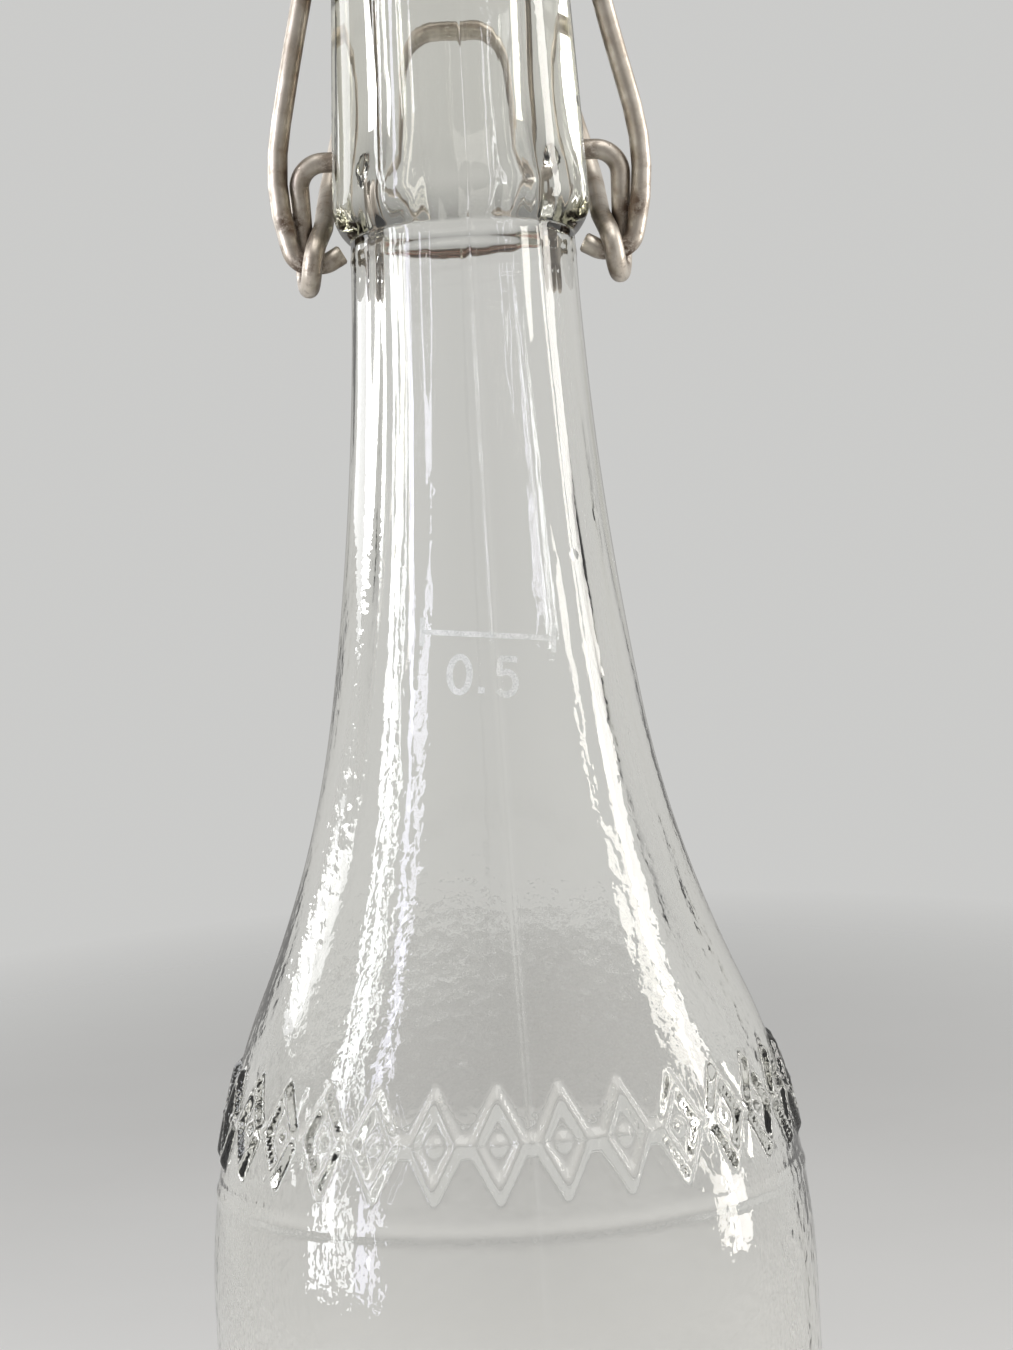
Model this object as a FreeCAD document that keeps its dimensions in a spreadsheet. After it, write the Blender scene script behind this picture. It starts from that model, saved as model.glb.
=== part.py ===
import FreeCAD, Part
import math
import os
import re
import Sketcher
from types import SimpleNamespace

# Half litre swing top bottle, in millimetres. The origin is the centre of the base, +Z is up, the
# closure pivots on an axis along X and the lever rests against the back (+Y) of the collar.

DRIVING = {
    # glass body
    "overall_height": 267.0,
    "body_radius": 36.0,
    "wall": 3.0,
    "heel_radius": 7.0,
    "bearing_width": 4.0,
    "push_up": 5.5,
    "floor_thickness": 5.0,
    "inner_heel_radius": 8.0,
    "shoulder_height": 110.0,
    "shoulder_radius": 86.4,
    "shoulder_angle": 24.0,
    "flare_angle": 9.0,
    "neck_draft": 2.2,
    "neck_straight": 6.0,
    "neck_radius": 13.4,
    # collar, rim and bore
    "collar_height": 32.7,
    "collar_radius": 15.4,
    "collar_curl": 5.1,
    "collar_draft": 2.7,
    "lip_radius": 3.0,
    "lip_inner_radius": 1.3,
    "bore_radius": 8.3,
    "bore_depth": 14.0,
    # pivot dimples
    "pivot_above_collar": 10.05,
    "dimple_depth": 2.8,
    "dimple_gap": 0.15,
    "dimple_flare": 0.7,
    # wires
    "wire_diameter": 2.4,
    "side_gap": 0.1,
    "strand_gap": 0.2,
    "eye_gap": 0.35,
    "hook_drop": 12.1,
    "lever_lean": 55.0,
    "lever_reach": 15.0,
    "lever_knee_inset": 0.3,
    "lever_knee_bend": 8.0,
    "lever_rise": 17.3,
    "lever_back_gap": 0.3,
    "lever_corner_inset": 4.7,
    "lever_corner_bend": 11.0,
    "lever_arm_bend": 10.0,
    "pin_bend": 3.0,
    "eye_front_set": 0.9,
    "eye_back_set": 0.2,
    "bail_bow": 0.95,
    "bail_bow_drop": 2.35,
    "bail_bow_bend": 30.0,
    "bail_top_reach": 14.6,
    "bail_top_bend": 3.5,
    "hook_corner_set": 0.7,
    "hook_bend": 2.2,
    "hook_run": 3.65,
    "hook_tip_run": 1.95,
    "hook_tip_rise": 1.1,
    "hook_tip_bend": 2.5,
    # stopper and gasket
    "gasket_thickness": 3.5,
    "gasket_radius": 12.2,
    "gasket_cone_depth": 1.2,
    "gasket_cone_radius": 7.4,
    "gasket_edge_radius": 0.8,
    "boss_radius": 5.4,
    "boss_gap": 0.1,
    "button_radius": 6.5,
    "button_height": 2.2,
    "head_radius": 13.0,
    "head_edge_height": 2.6,
    "head_edge_radius": 1.2,
    "head_neck_radius": 11.4,
    "head_top_radius": 10.2,
    "head_height": 17.0,
    "head_dome_radius": 3.5,
    "bar_above_rim": 11.0,
    "bar_gap": 0.2,
}

# the sketcher's own numbers for its axes and for the places on a curve
H_AXIS, V_AXIS = range(-1, -3, -1)
START, END, CENTRE = range(1, 4)
ORIGIN = (H_AXIS, START)

doc = FreeCAD.newDocument("swing_top_bottle")
sheet = doc.addObject("Spreadsheet::Sheet", "Sizes")
for row, (name, number) in enumerate(DRIVING.items(), start=1):
    sheet.set(f"A{row}", name)
    sheet.set(f"B{row}", str(number))
    sheet.setAlias(f"B{row}", name)
doc.recompute()
size = SimpleNamespace(**{name: float(sheet.get(name)) for name in DRIVING})

COLLAR_BOTTOM = "overall_height - collar_height"
PIVOT = f"({COLLAR_BOTTOM} + pivot_above_collar)"
HOOK = f"({PIVOT} - hook_drop)"
BAR = "(overall_height + bar_above_rim)"
INNER_STRAND = "(collar_radius + wire_diameter / 2 + side_gap)"
OUTER_STRAND = f"({INNER_STRAND} + wire_diameter + strand_gap)"
SEAT = "(overall_height + gasket_thickness)"


def amount(expression):
    """Value of an expression in the driving sizes; an angle comes back in radians."""
    found = sheet.evalExpression(expression)
    if hasattr(found, "Unit") and found.Unit == FreeCAD.Units.Angle:
        return math.radians(found.Value)
    return float(found)


def bound(expression):
    """The same expression, written with the sheet's name in front of each driving size."""
    return re.sub(r"[a-z_]+", lambda word: f"Sizes.{word[0]}" if word[0] in DRIVING else word[0], expression)


def polar(centre, radius, angle):
    """Point at an angle (radians) on a circle in a sketch's plane."""
    return (centre[0] + radius * math.cos(angle), centre[1] + radius * math.sin(angle))


def plane_of(body, role):
    """One of a body's own origin planes."""
    return next(feature for feature in body.Origin.OriginFeatures if feature.Role == role)


class Outline:
    """A sketch on an origin plane of a body, with its sizes bound to the sheet."""

    def __init__(self, body, name, role="XZ_Plane"):
        self.sketch = body.newObject("Sketcher::SketchObject", name)
        self.sketch.AttachmentSupport = [(plane_of(body, role), "")]
        self.sketch.MapMode = "FlatFace"

    def line(self, start, end, construction=False):
        """Add a line; returns its two ends as (geometry, position) pairs."""
        segment = Part.LineSegment(FreeCAD.Vector(*start, 0), FreeCAD.Vector(*end, 0))
        number = self.sketch.addGeometry(segment, construction)
        return (number, START), (number, END)

    def arc(self, centre, radius, first, last):
        """Add an arc travelled from angle first to angle last; returns the two ends in that order."""
        low, high = min(first, last), max(first, last)
        circle = Part.Circle(FreeCAD.Vector(*centre, 0), FreeCAD.Vector(0, 0, 1), radius)
        number = self.sketch.addGeometry(Part.ArcOfCircle(circle, low, high), False)
        ends = (number, START), (number, END)
        return ends if first < last else ends[::-1]

    def circle(self, centre, radius):
        """Add a full circle; returns its geometry number."""
        ring = Part.Circle(FreeCAD.Vector(*centre, 0), FreeCAD.Vector(0, 0, 1), radius)
        return self.sketch.addGeometry(ring, False)

    def point(self, place):
        """Add a construction point; returns it as a (geometry, position) pair."""
        return self.sketch.addGeometry(Part.Point(FreeCAD.Vector(*place, 0)), True), START

    def meet(self, one, other):
        self.sketch.addConstraint(Sketcher.Constraint("Coincident", *one, *other))

    def flow(self, one, other):
        """Join two ends so that one runs into the other without a corner."""
        self.sketch.addConstraint(Sketcher.Constraint("Tangent", *one, *other))

    def lie_on(self, point, curve):
        self.sketch.addConstraint(Sketcher.Constraint("PointOnObject", *point, curve))

    def rule(self, kind, *parts):
        self.sketch.addConstraint(Sketcher.Constraint(kind, *parts))

    def bind(self, kind, parts, expression):
        """Add a dimension and tie it to an expression in the driving sizes."""
        number = self.sketch.addConstraint(Sketcher.Constraint(kind, *parts, amount(expression)))
        self.sketch.setExpression(f"Constraints[{number}]", bound(expression))

    def across(self, point, expression):
        self.bind("DistanceX", (*ORIGIN, *point), expression)

    def up(self, point, expression):
        self.bind("DistanceY", (*ORIGIN, *point), expression)


def shape_of_revolution(body, outline, name):
    """Turn an outline round the Z axis."""
    turned = body.newObject("PartDesign::Revolution", name)
    turned.Profile = outline.sketch
    turned.ReferenceAxis = (outline.sketch, ["V_Axis"])
    turned.Angle = 360.0
    return turned


def new_body(label):
    body = doc.addObject("PartDesign::Body", label)
    body.Label = label
    body.Placement = FreeCAD.Placement()
    return body


def neck_curves(start, end, shoulder, flare, draft):
    """Radii of the two tangent arcs that lead from the shoulder to the straight neck."""
    cosines = (math.cos(flare) - math.cos(shoulder), math.cos(draft) - math.cos(flare))
    sines = (math.sin(shoulder) - math.sin(flare), math.sin(flare) - math.sin(draft))
    across, up = start[0] - end[0], end[1] - start[1]
    scale = cosines[0] * sines[1] - cosines[1] * sines[0]
    return (across * sines[1] - cosines[1] * up) / scale, (cosines[0] * up - sines[0] * across) / scale


def bottle_outline(body):
    """Half section of the glass: outside from the base to the rim, then the inside back down."""
    out = Outline(body, "bottle_section")
    draft = math.radians(size.neck_draft)
    shoulder = math.radians(size.shoulder_angle)
    flare = math.radians(size.flare_angle)
    lean = math.radians(size.collar_draft)
    rim = size.overall_height
    foot = size.body_radius - size.heel_radius
    bearing = foot - size.bearing_width
    inside = size.body_radius - size.wall

    # base, heel and side
    dome = (bearing ** 2 + size.push_up ** 2) / (2 * size.push_up)
    dome_centre = (0.0, size.push_up - dome)
    push_up = out.arc(dome_centre, dome, math.pi / 2, math.asin((dome - size.push_up) / dome))
    land = out.line((bearing, 0), (foot, 0))
    heel = out.arc((foot, size.heel_radius), size.heel_radius, -math.pi / 2, 0)
    side = out.line((size.body_radius, size.heel_radius), (size.body_radius, size.shoulder_height))

    # shoulder, flare and neck as tangent arcs
    shoulder_centre = (size.body_radius - size.shoulder_radius, size.shoulder_height)
    turn = polar(shoulder_centre, size.shoulder_radius, shoulder)
    neck_top = (size.neck_radius, amount(COLLAR_BOTTOM))
    neck_foot = polar(neck_top, size.neck_straight, draft - math.pi / 2)
    flare_radius, neck_curve = neck_curves(turn, neck_foot, shoulder, flare, draft)
    flare_centre = polar(turn, flare_radius, shoulder)
    neck_centre = polar(neck_foot, neck_curve, draft)
    bulge = out.arc(shoulder_centre, size.shoulder_radius, 0, shoulder)
    sweep = out.arc(flare_centre, flare_radius, math.pi + shoulder, math.pi + flare)
    taper = out.arc(neck_centre, neck_curve, math.pi + flare, math.pi + draft)
    neck = out.line(neck_foot, neck_top)

    # collar and rim
    curl_x = size.collar_radius - size.collar_curl * math.cos(lean)
    curl_drop = math.sqrt(size.collar_curl ** 2 - (size.neck_radius - curl_x) ** 2)
    curl_centre = (curl_x, neck_top[1] + curl_drop)
    curl_top = polar(curl_centre, size.collar_curl, lean)
    lip_start_z = rim - size.lip_radius * (1 - math.sin(lean))
    lip_start = (curl_top[0] - (lip_start_z - curl_top[1]) * math.tan(lean), lip_start_z)
    lip_centre = polar(lip_start, size.lip_radius, math.pi + lean)
    lip_inside = (size.bore_radius + size.lip_inner_radius, rim - size.lip_inner_radius)
    curl = out.arc(curl_centre, size.collar_curl, math.atan2(-curl_drop, size.neck_radius - curl_x), lean)
    collar = out.line(curl_top, lip_start)
    lip = out.arc(lip_centre, size.lip_radius, lean, math.pi / 2)
    rim_land = out.line((lip_centre[0], rim), (lip_inside[0], rim))
    mouth = out.arc(lip_inside, size.lip_inner_radius, math.pi / 2, math.pi)

    # bore, opening out in two equal arcs to the inside of the neck
    bore_end = (size.bore_radius, rim - size.bore_depth)
    inner_top_x = size.neck_radius - size.wall / math.cos(draft)
    widen, drop = inner_top_x - size.bore_radius, bore_end[1] - neck_top[1]
    ratio = widen / drop
    reach = (1 + math.cos(draft) + ratio * math.sin(draft)) / (2 * math.hypot(1, ratio))
    bend = math.atan(ratio) + math.acos(reach)
    ease = drop / (2 * math.sin(bend) - math.sin(draft))
    upper_centre = (size.bore_radius + ease, bore_end[1])
    lower_centre = polar(upper_centre, 2 * ease, math.pi + bend)
    bore = out.line((size.bore_radius, lip_inside[1]), bore_end)
    upper_ease = out.arc(upper_centre, ease, math.pi, math.pi + bend)
    lower_ease = out.arc(lower_centre, ease, bend, draft)

    # inside of neck, shoulder and body, one wall in from the outside
    inner_neck_foot = polar(neck_centre, neck_curve + size.wall, math.pi + draft)
    inner_neck = out.line((inner_top_x, neck_top[1]), inner_neck_foot)
    inner_taper = out.arc(neck_centre, neck_curve + size.wall, math.pi + draft, math.pi + flare)
    inner_sweep = out.arc(flare_centre, flare_radius + size.wall, math.pi + flare, math.pi + shoulder)
    inner_bulge = out.arc(shoulder_centre, size.shoulder_radius - size.wall, shoulder, 0)
    floor_dome = dome + size.floor_thickness
    fillet_x = inside - size.inner_heel_radius
    fillet_rise = math.sqrt((floor_dome + size.inner_heel_radius) ** 2 - fillet_x ** 2)
    fillet_z = dome_centre[1] + fillet_rise
    floor_angle = math.atan2(fillet_rise, fillet_x)
    inner_side = out.line((inside, size.shoulder_height), (inside, fillet_z))
    inner_heel = out.arc((fillet_x, fillet_z), size.inner_heel_radius, 0, floor_angle - math.pi)
    floor = out.arc(dome_centre, floor_dome, floor_angle, math.pi / 2)
    middle = out.line((0, size.push_up + size.floor_thickness), (0, size.push_up))

    # joints
    smooth = [land, heel, side, bulge, sweep, taper, neck]
    smooth_collar = [curl, collar, lip, rim_land, mouth, bore, upper_ease, lower_ease, inner_neck,
                     inner_taper, inner_sweep, inner_bulge, inner_side, inner_heel, floor]
    for run in (smooth, smooth_collar):
        for before, after in zip(run, run[1:]):
            out.flow(before[1], after[0])
    for before, after in ((push_up, land), (neck, curl), (floor, middle), (middle, push_up)):
        out.meet(before[1], after[0])
    for inner, outer in ((inner_taper, taper), (inner_sweep, sweep), (inner_bulge, bulge), (floor, push_up)):
        out.meet((inner[0][0], CENTRE), (outer[0][0], CENTRE))

    # sizes
    out.lie_on(push_up[0], V_AXIS)
    out.lie_on((push_up[0][0], CENTRE), V_AXIS)
    out.lie_on(floor[1], V_AXIS)
    out.lie_on(land[0], H_AXIS)
    out.lie_on(land[1], H_AXIS)
    out.rule("Vertical", side[0][0])
    out.rule("Vertical", inner_side[0][0])
    out.rule("Vertical", bore[0][0])
    out.rule("Horizontal", rim_land[0][0])
    out.rule("Parallel", inner_neck[0][0], neck[0][0])
    out.rule("Equal", upper_ease[0][0], lower_ease[0][0])
    out.up(push_up[0], "push_up")
    out.up(floor[1], "push_up + floor_thickness")
    out.across(land[0], "body_radius - heel_radius - bearing_width")
    out.bind("Radius", (heel[0][0],), "heel_radius")
    out.across(side[0], "body_radius")
    out.up(side[1], "shoulder_height")
    out.bind("Radius", (bulge[0][0],), "shoulder_radius")
    out.bind("Angle", (bulge[0][0],), "shoulder_angle * 1 deg")
    out.bind("Angle", (sweep[0][0],), "(shoulder_angle - flare_angle) * 1 deg")
    out.bind("Angle", (taper[0][0],), "(flare_angle - neck_draft) * 1 deg")
    out.bind("DistanceY", (*neck[0], *neck[1]), "neck_straight * cos(neck_draft)")
    out.across(neck[1], "neck_radius")
    out.up(neck[1], COLLAR_BOTTOM)
    out.bind("Radius", (curl[0][0],), "collar_curl")
    out.across(curl[1], "collar_radius")
    out.bind("Angle", (V_AXIS, START, *collar[0]), "collar_draft * 1 deg")
    out.bind("Radius", (lip[0][0],), "lip_radius")
    out.up(rim_land[0], "overall_height")
    out.bind("Radius", (mouth[0][0],), "lip_inner_radius")
    out.across(bore[1], "bore_radius")
    out.up(bore[1], "overall_height - bore_depth")
    out.up(inner_neck[0], COLLAR_BOTTOM)
    out.across(inner_side[0], "body_radius - wall")
    out.bind("Radius", (inner_heel[0][0],), "inner_heel_radius")
    return out


def dimple_outline(body):
    """Half section of the blind dimple on the +X side, to be turned round the pivot axis."""
    out = Outline(body, "dimple_section")
    pivot = amount(PIVOT)
    deep = amount("collar_radius - dimple_depth")
    clear = amount("collar_radius + lip_radius")
    seat = amount("wire_diameter / 2 + dimple_gap")
    wide = amount("wire_diameter / 2 + dimple_gap + dimple_flare * (dimple_depth + lip_radius) / dimple_depth")
    axis = out.line((deep, pivot), (clear, pivot))
    face = out.line((clear, pivot), (clear, pivot + wide))
    flank = out.line((clear, pivot + wide), (deep, pivot + seat))
    end = out.line((deep, pivot + seat), (deep, pivot))
    loop = [axis, face, flank, end]
    for before, after in zip(loop, loop[1:] + loop[:1]):
        out.meet(before[1], after[0])
    out.rule("Horizontal", axis[0][0])
    out.rule("Vertical", face[0][0])
    out.rule("Vertical", end[0][0])
    out.up(axis[0], PIVOT)
    out.across(axis[0], "collar_radius - dimple_depth")
    out.across(axis[1], "collar_radius + lip_radius")
    out.bind("DistanceY", (*end[1], *end[0]), "wire_diameter / 2 + dimple_gap")
    out.bind("DistanceY", (*face[0], *face[1]),
             "wire_diameter / 2 + dimple_gap + dimple_flare * (dimple_depth + lip_radius) / dimple_depth")
    return out, axis[0][0]


def build_bottle():
    body = new_body("bottle")
    shape_of_revolution(body, bottle_outline(body), "bottle_turned")
    section, axis = dimple_outline(body)
    dimple = body.newObject("PartDesign::Groove", "dimple")
    dimple.Profile = section.sketch
    dimple.ReferenceAxis = (section.sketch, [f"Edge{axis + 1}"])
    dimple.Angle = 360.0
    pair = body.newObject("PartDesign::Mirrored", "dimple_pair")
    pair.Originals = [dimple]
    pair.MirrorPlane = (plane_of(body, "YZ_Plane"), [""])
    body.Tip = pair
    return body


def bend_sketch(out, corners, bends):
    """Add a path of straight runs joined by bends; each corner is a pair of expressions."""
    places = [(amount(x) if x else 0.0, amount(z)) for x, z in corners]
    cuts = []
    for before, here, after, bend in zip(places, places[1:], places[2:], bends):
        come = math.atan2(here[1] - before[1], here[0] - before[0])
        leave = math.atan2(after[1] - here[1], after[0] - here[0])
        turn = math.remainder(leave - come, 2 * math.pi)
        cut = amount(bend) * math.tan(abs(turn) / 2)
        side = math.copysign(math.pi / 2, turn)
        entry = polar(here, cut, come + math.pi)
        exit_place = polar(here, cut, leave)
        cuts.append((entry, exit_place, polar(entry, amount(bend), come + side), come - side, turn))
    starts = [places[0]] + [cut[1] for cut in cuts]
    ends = [cut[0] for cut in cuts] + [places[-1]]
    runs = [out.line(start, end) for start, end in zip(starts, ends)]
    for number, (bend, cut) in enumerate(zip(bends, cuts)):
        curve = out.arc(cut[2], amount(bend), cut[3], cut[3] + cut[4])
        out.flow(runs[number][1], curve[0])
        out.flow(curve[1], runs[number + 1][0])
        out.bind("Radius", (curve[0][0],), bend)
        corner = out.point(places[number + 1])
        out.lie_on(corner, runs[number][0][0])
        out.lie_on(corner, runs[number + 1][0][0])
        out.across(corner, corners[number + 1][0])
        out.up(corner, corners[number + 1][1])
    out.lie_on(runs[0][0], V_AXIS)
    out.up(runs[0][0], corners[0][1])
    out.across(runs[-1][1], corners[-1][0])
    out.up(runs[-1][1], corners[-1][1])


def build_bail():
    """Bail: bar through the stopper, bowed leg and hook on +X, then mirrored."""
    body = new_body("bail_wire")
    path = Outline(body, "bail_path")
    hook_corner = f"({OUTER_STRAND} + hook_corner_set)"
    corners = [
        (None, BAR),
        ("bail_top_reach", BAR),
        (f"{OUTER_STRAND} + wire_diameter + bail_bow", f"{PIVOT} - bail_bow_drop"),
        (hook_corner, HOOK),
        (f"{hook_corner} - hook_run", HOOK),
        (f"{hook_corner} - hook_run - hook_tip_run", f"{HOOK} + hook_tip_rise"),
    ]
    bend_sketch(path, corners, ["bail_top_bend", "bail_bow_bend", "hook_bend", "hook_tip_bend"])
    section = Outline(body, "bail_section", "YZ_Plane")
    ring = section.circle((0, amount(BAR)), size.wire_diameter / 2)
    section.lie_on((ring, CENTRE), V_AXIS)
    section.up((ring, CENTRE), BAR)
    section.bind("Radius", (ring,), "wire_diameter / 2")
    half = body.newObject("PartDesign::AdditivePipe", "bail_half")
    half.Profile = section.sketch
    half.Spine = path.sketch
    half.Mode = "Standard"
    pair = body.newObject("PartDesign::Mirrored", "bail_pair")
    pair.Originals = [half]
    pair.MirrorPlane = (plane_of(body, "YZ_Plane"), [""])
    body.Tip = pair
    return body


def bent_wire(corners, bends):
    """Path in space through the corners, each corner rounded by its bend radius."""
    edges = []
    start = corners[0]
    for before, here, after, bend in zip(corners, corners[1:], corners[2:], bends):
        come = (here - before).normalize()
        leave = (after - here).normalize()
        turn = come.getAngle(leave)
        cut = bend * math.tan(turn / 2)
        entry = here - come * cut
        exit_place = here + leave * cut
        inward = (leave - come).normalize()
        middle = here + inward * (bend / math.cos(turn / 2) - bend)
        if (entry - start).Length > 1e-6:
            edges.append(Part.LineSegment(start, entry).toShape())
        edges.append(Part.Arc(entry, middle, exit_place).toShape())
        start = exit_place
    edges.append(Part.LineSegment(start, corners[-1]).toShape())
    return Part.Wire(edges)


def lever_corners():
    """Corners and bends of the lever's +X half, from behind the collar to the pin in its dimple."""
    pivot = amount(PIVOT)
    lean = math.radians(size.lever_lean)
    eye = size.wire_diameter + size.eye_gap
    inner, outer = amount(INNER_STRAND), amount(OUTER_STRAND)

    def eye_place(heading, reach, x):
        """Point beside the hook, seen by a bender who travels round it with this heading."""
        return FreeCAD.Vector(x, -reach * math.sin(heading), pivot - size.hook_drop + reach * math.cos(heading))

    # the strand from the pin meets the eye behind the hook, the arm leaves it in front
    arrive = math.asin(eye / size.hook_drop) - math.pi / 2
    depart = -1.5 * math.pi - lean
    turn = (arrive - depart) / 3
    front, back = inner + size.eye_front_set, outer - size.eye_back_set
    ring = []
    for step in range(3):
        x = back + (front - back) * step / 2
        ring.append(eye_place(arrive - turn * (step + 0.5), eye / math.cos(turn / 2), x))

    # the arm slopes past the crossing strand to a knee, then climbs to the crossing behind the collar
    foot = eye_place(depart, eye, front)
    strand = math.pi / 2 + arrive
    crossing = (pivot - foot.z) * math.sin(strand) - foot.y * math.cos(strand)
    crossing /= math.sin(lean + strand)
    collar_slope = math.tan(math.radians(size.collar_draft))
    collar_foot = amount(COLLAR_BOTTOM) + size.collar_curl / 2
    slope = FreeCAD.Vector(0, math.sin(lean), math.cos(lean))
    arm = foot + slope * crossing
    arm.x = inner
    knee = foot + slope * size.lever_reach
    knee.x = inner - size.lever_knee_inset
    top = pivot + size.lever_rise
    stand_off = size.collar_radius - collar_slope * (top - collar_foot)
    back_y = stand_off + size.wire_diameter / 2 + size.lever_back_gap
    corner = FreeCAD.Vector(inner - size.lever_corner_inset, back_y, top)
    middle = FreeCAD.Vector(0, back_y, top)
    pin_corner = FreeCAD.Vector(outer, 0, pivot)
    tip = FreeCAD.Vector(amount("collar_radius - dimple_depth + dimple_gap"), 0, pivot)
    corners = [middle, corner, knee, arm, ring[2], ring[1], ring[0], pin_corner, tip]
    bends = [size.lever_corner_bend, size.lever_knee_bend, size.lever_arm_bend, eye, eye, eye, size.pin_bend]
    return corners, bends


def build_lever():
    """Lever: one wire bent in space, swept as its +X half and mirrored."""
    corners, bends = lever_corners()
    path = doc.addObject("Part::Feature", "lever_path")
    path.Shape = bent_wire(corners, bends)
    section = doc.addObject("Part::Circle", "lever_section")
    section.setExpression("Radius", bound("wire_diameter / 2"))
    section.Placement = FreeCAD.Placement(corners[0], FreeCAD.Rotation(FreeCAD.Vector(0, 1, 0), 90))
    half = doc.addObject("Part::Sweep", "lever_half")
    half.Sections = [section]
    half.Spine = (path, [f"Edge{number}" for number in range(1, len(path.Shape.Edges) + 1)])
    half.Solid = True
    half.Frenet = False
    other = doc.addObject("Part::Mirroring", "lever_other_half")
    other.Source = half
    other.Normal = FreeCAD.Vector(1, 0, 0)
    lever = doc.addObject("Part::Fuse", "lever_wire")
    lever.Base = half
    lever.Tool = other
    lever.Refine = True
    lever.Label = "lever_wire"
    lever.Placement = FreeCAD.Placement()
    return lever


def build_stopper():
    """Porcelain head: coned cap with a cross hole, a boss through the gasket and a button under it."""
    body = new_body("stopper")
    out = Outline(body, "stopper_section")
    seat = amount(SEAT)
    top = seat + size.head_height
    under = size.overall_height - size.gasket_cone_depth
    low = under - size.button_height
    edge = size.head_edge_radius
    dome = size.head_dome_radius
    brim = seat + size.head_edge_height
    brow = top - dome
    wedge = math.atan2(size.head_neck_radius - size.head_top_radius, brow - brim)
    cap_end = (size.head_top_radius, brow)
    cap_centre = polar(cap_end, dome, math.pi + wedge)
    middle = out.line((0, cap_centre[1] + dome), (0, low))
    sole = out.line((0, low), (size.button_radius, low))
    button = out.line((size.button_radius, low), (size.button_radius, under))
    ledge = out.line((size.button_radius, under), (size.boss_radius, under))
    boss = out.line((size.boss_radius, under), (size.boss_radius, seat))
    flange = out.line((size.boss_radius, seat), (size.head_radius - edge, seat))
    rim_low = out.arc((size.head_radius - edge, seat + edge), edge, -math.pi / 2, 0)
    rim_side = out.line((size.head_radius, seat + edge), (size.head_radius, brim - edge))
    rim_high = out.arc((size.head_radius - edge, brim - edge), edge, 0, math.pi / 2)
    shelf = out.line((size.head_radius - edge, brim), (size.head_neck_radius, brim))
    cone = out.line((size.head_neck_radius, brim), cap_end)
    cap = out.arc(cap_centre, dome, wedge, math.pi / 2)
    crown = out.line((cap_centre[0], cap_centre[1] + dome), (0, cap_centre[1] + dome))
    loop = [middle, sole, button, ledge, boss, flange, rim_low, rim_side, rim_high, shelf, cone, cap, crown]
    smooth = {(5, 6), (6, 7), (7, 8), (8, 9), (10, 11), (11, 12)}
    for number, before in enumerate(loop):
        following = (number + 1) % len(loop)
        join = out.flow if (number, following) in smooth else out.meet
        join(before[1], loop[following][0])
    out.lie_on(middle[0], V_AXIS)
    out.lie_on(middle[1], V_AXIS)
    for level in (sole, ledge, flange, crown):
        out.rule("Horizontal", level[0][0])
    for upright in (button, boss, rim_side):
        out.rule("Vertical", upright[0][0])
    out.up(sole[1], "overall_height - gasket_cone_depth - button_height")
    out.across(sole[1], "button_radius")
    out.up(ledge[0], "overall_height - gasket_cone_depth")
    out.across(boss[0], "boss_radius")
    out.up(boss[1], SEAT)
    out.across(rim_side[0], "head_radius")
    out.bind("Radius", (rim_low[0][0],), "head_edge_radius")
    out.bind("Radius", (rim_high[0][0],), "head_edge_radius")
    out.up(shelf[1], f"{SEAT} + head_edge_height")
    out.across(shelf[1], "head_neck_radius")
    out.across(cone[1], "head_top_radius")
    out.up(cone[1], f"{SEAT} + head_height - head_dome_radius")
    out.bind("Radius", (cap[0][0],), "head_dome_radius")
    shape_of_revolution(body, out, "stopper_turned")

    drill = Outline(body, "bar_hole_section", "YZ_Plane")
    ring = drill.circle((0, amount(BAR)), size.wire_diameter / 2 + size.bar_gap)
    drill.lie_on((ring, CENTRE), V_AXIS)
    drill.up((ring, CENTRE), BAR)
    drill.bind("Radius", (ring,), "wire_diameter / 2 + bar_gap")
    hole = body.newObject("PartDesign::Pocket", "bar_hole")
    hole.Profile = drill.sketch
    hole.Type = "ThroughAll"
    hole.SideType = "Symmetric"
    body.Tip = hole
    return body


def build_gasket():
    """Rubber ring between the head and the rim, coned where it dips into the bore."""
    body = new_body("gasket")
    out = Outline(body, "gasket_section")
    rim, seat = size.overall_height, amount(SEAT)
    low = rim - size.gasket_cone_depth
    hole = size.boss_radius + size.boss_gap
    cone_top = size.bore_radius + size.lip_inner_radius / 4
    edge = size.gasket_edge_radius
    outer = size.gasket_radius
    inside = out.line((hole, seat), (hole, low))
    sole = out.line((hole, low), (size.gasket_cone_radius, low))
    cone = out.line((size.gasket_cone_radius, low), (cone_top, rim))
    face = out.line((cone_top, rim), (outer - edge, rim))
    round_low = out.arc((outer - edge, rim + edge), edge, -math.pi / 2, 0)
    side = out.line((outer, rim + edge), (outer, seat - edge))
    round_high = out.arc((outer - edge, seat - edge), edge, 0, math.pi / 2)
    top = out.line((outer - edge, seat), (hole, seat))
    for before, after in ((inside, sole), (sole, cone), (cone, face), (top, inside)):
        out.meet(before[1], after[0])
    run = [face, round_low, side, round_high, top]
    for before, after in zip(run, run[1:]):
        out.flow(before[1], after[0])
    for level in (sole, face, top):
        out.rule("Horizontal", level[0][0])
    for upright in (inside, side):
        out.rule("Vertical", upright[0][0])
    out.across(inside[0], "boss_radius + boss_gap")
    out.up(inside[0], SEAT)
    out.up(sole[1], "overall_height - gasket_cone_depth")
    out.across(sole[1], "gasket_cone_radius")
    out.up(face[0], "overall_height")
    out.across(face[0], "bore_radius + lip_inner_radius / 4")
    out.across(side[0], "gasket_radius")
    for corner in (round_low, round_high):
        out.bind("Radius", (corner[0][0],), "gasket_edge_radius")
    shape_of_revolution(body, out, "gasket_turned")
    return body


parts = [build_bottle(), build_lever(), build_bail(), build_stopper(), build_gasket()]
doc.recompute()

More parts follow.
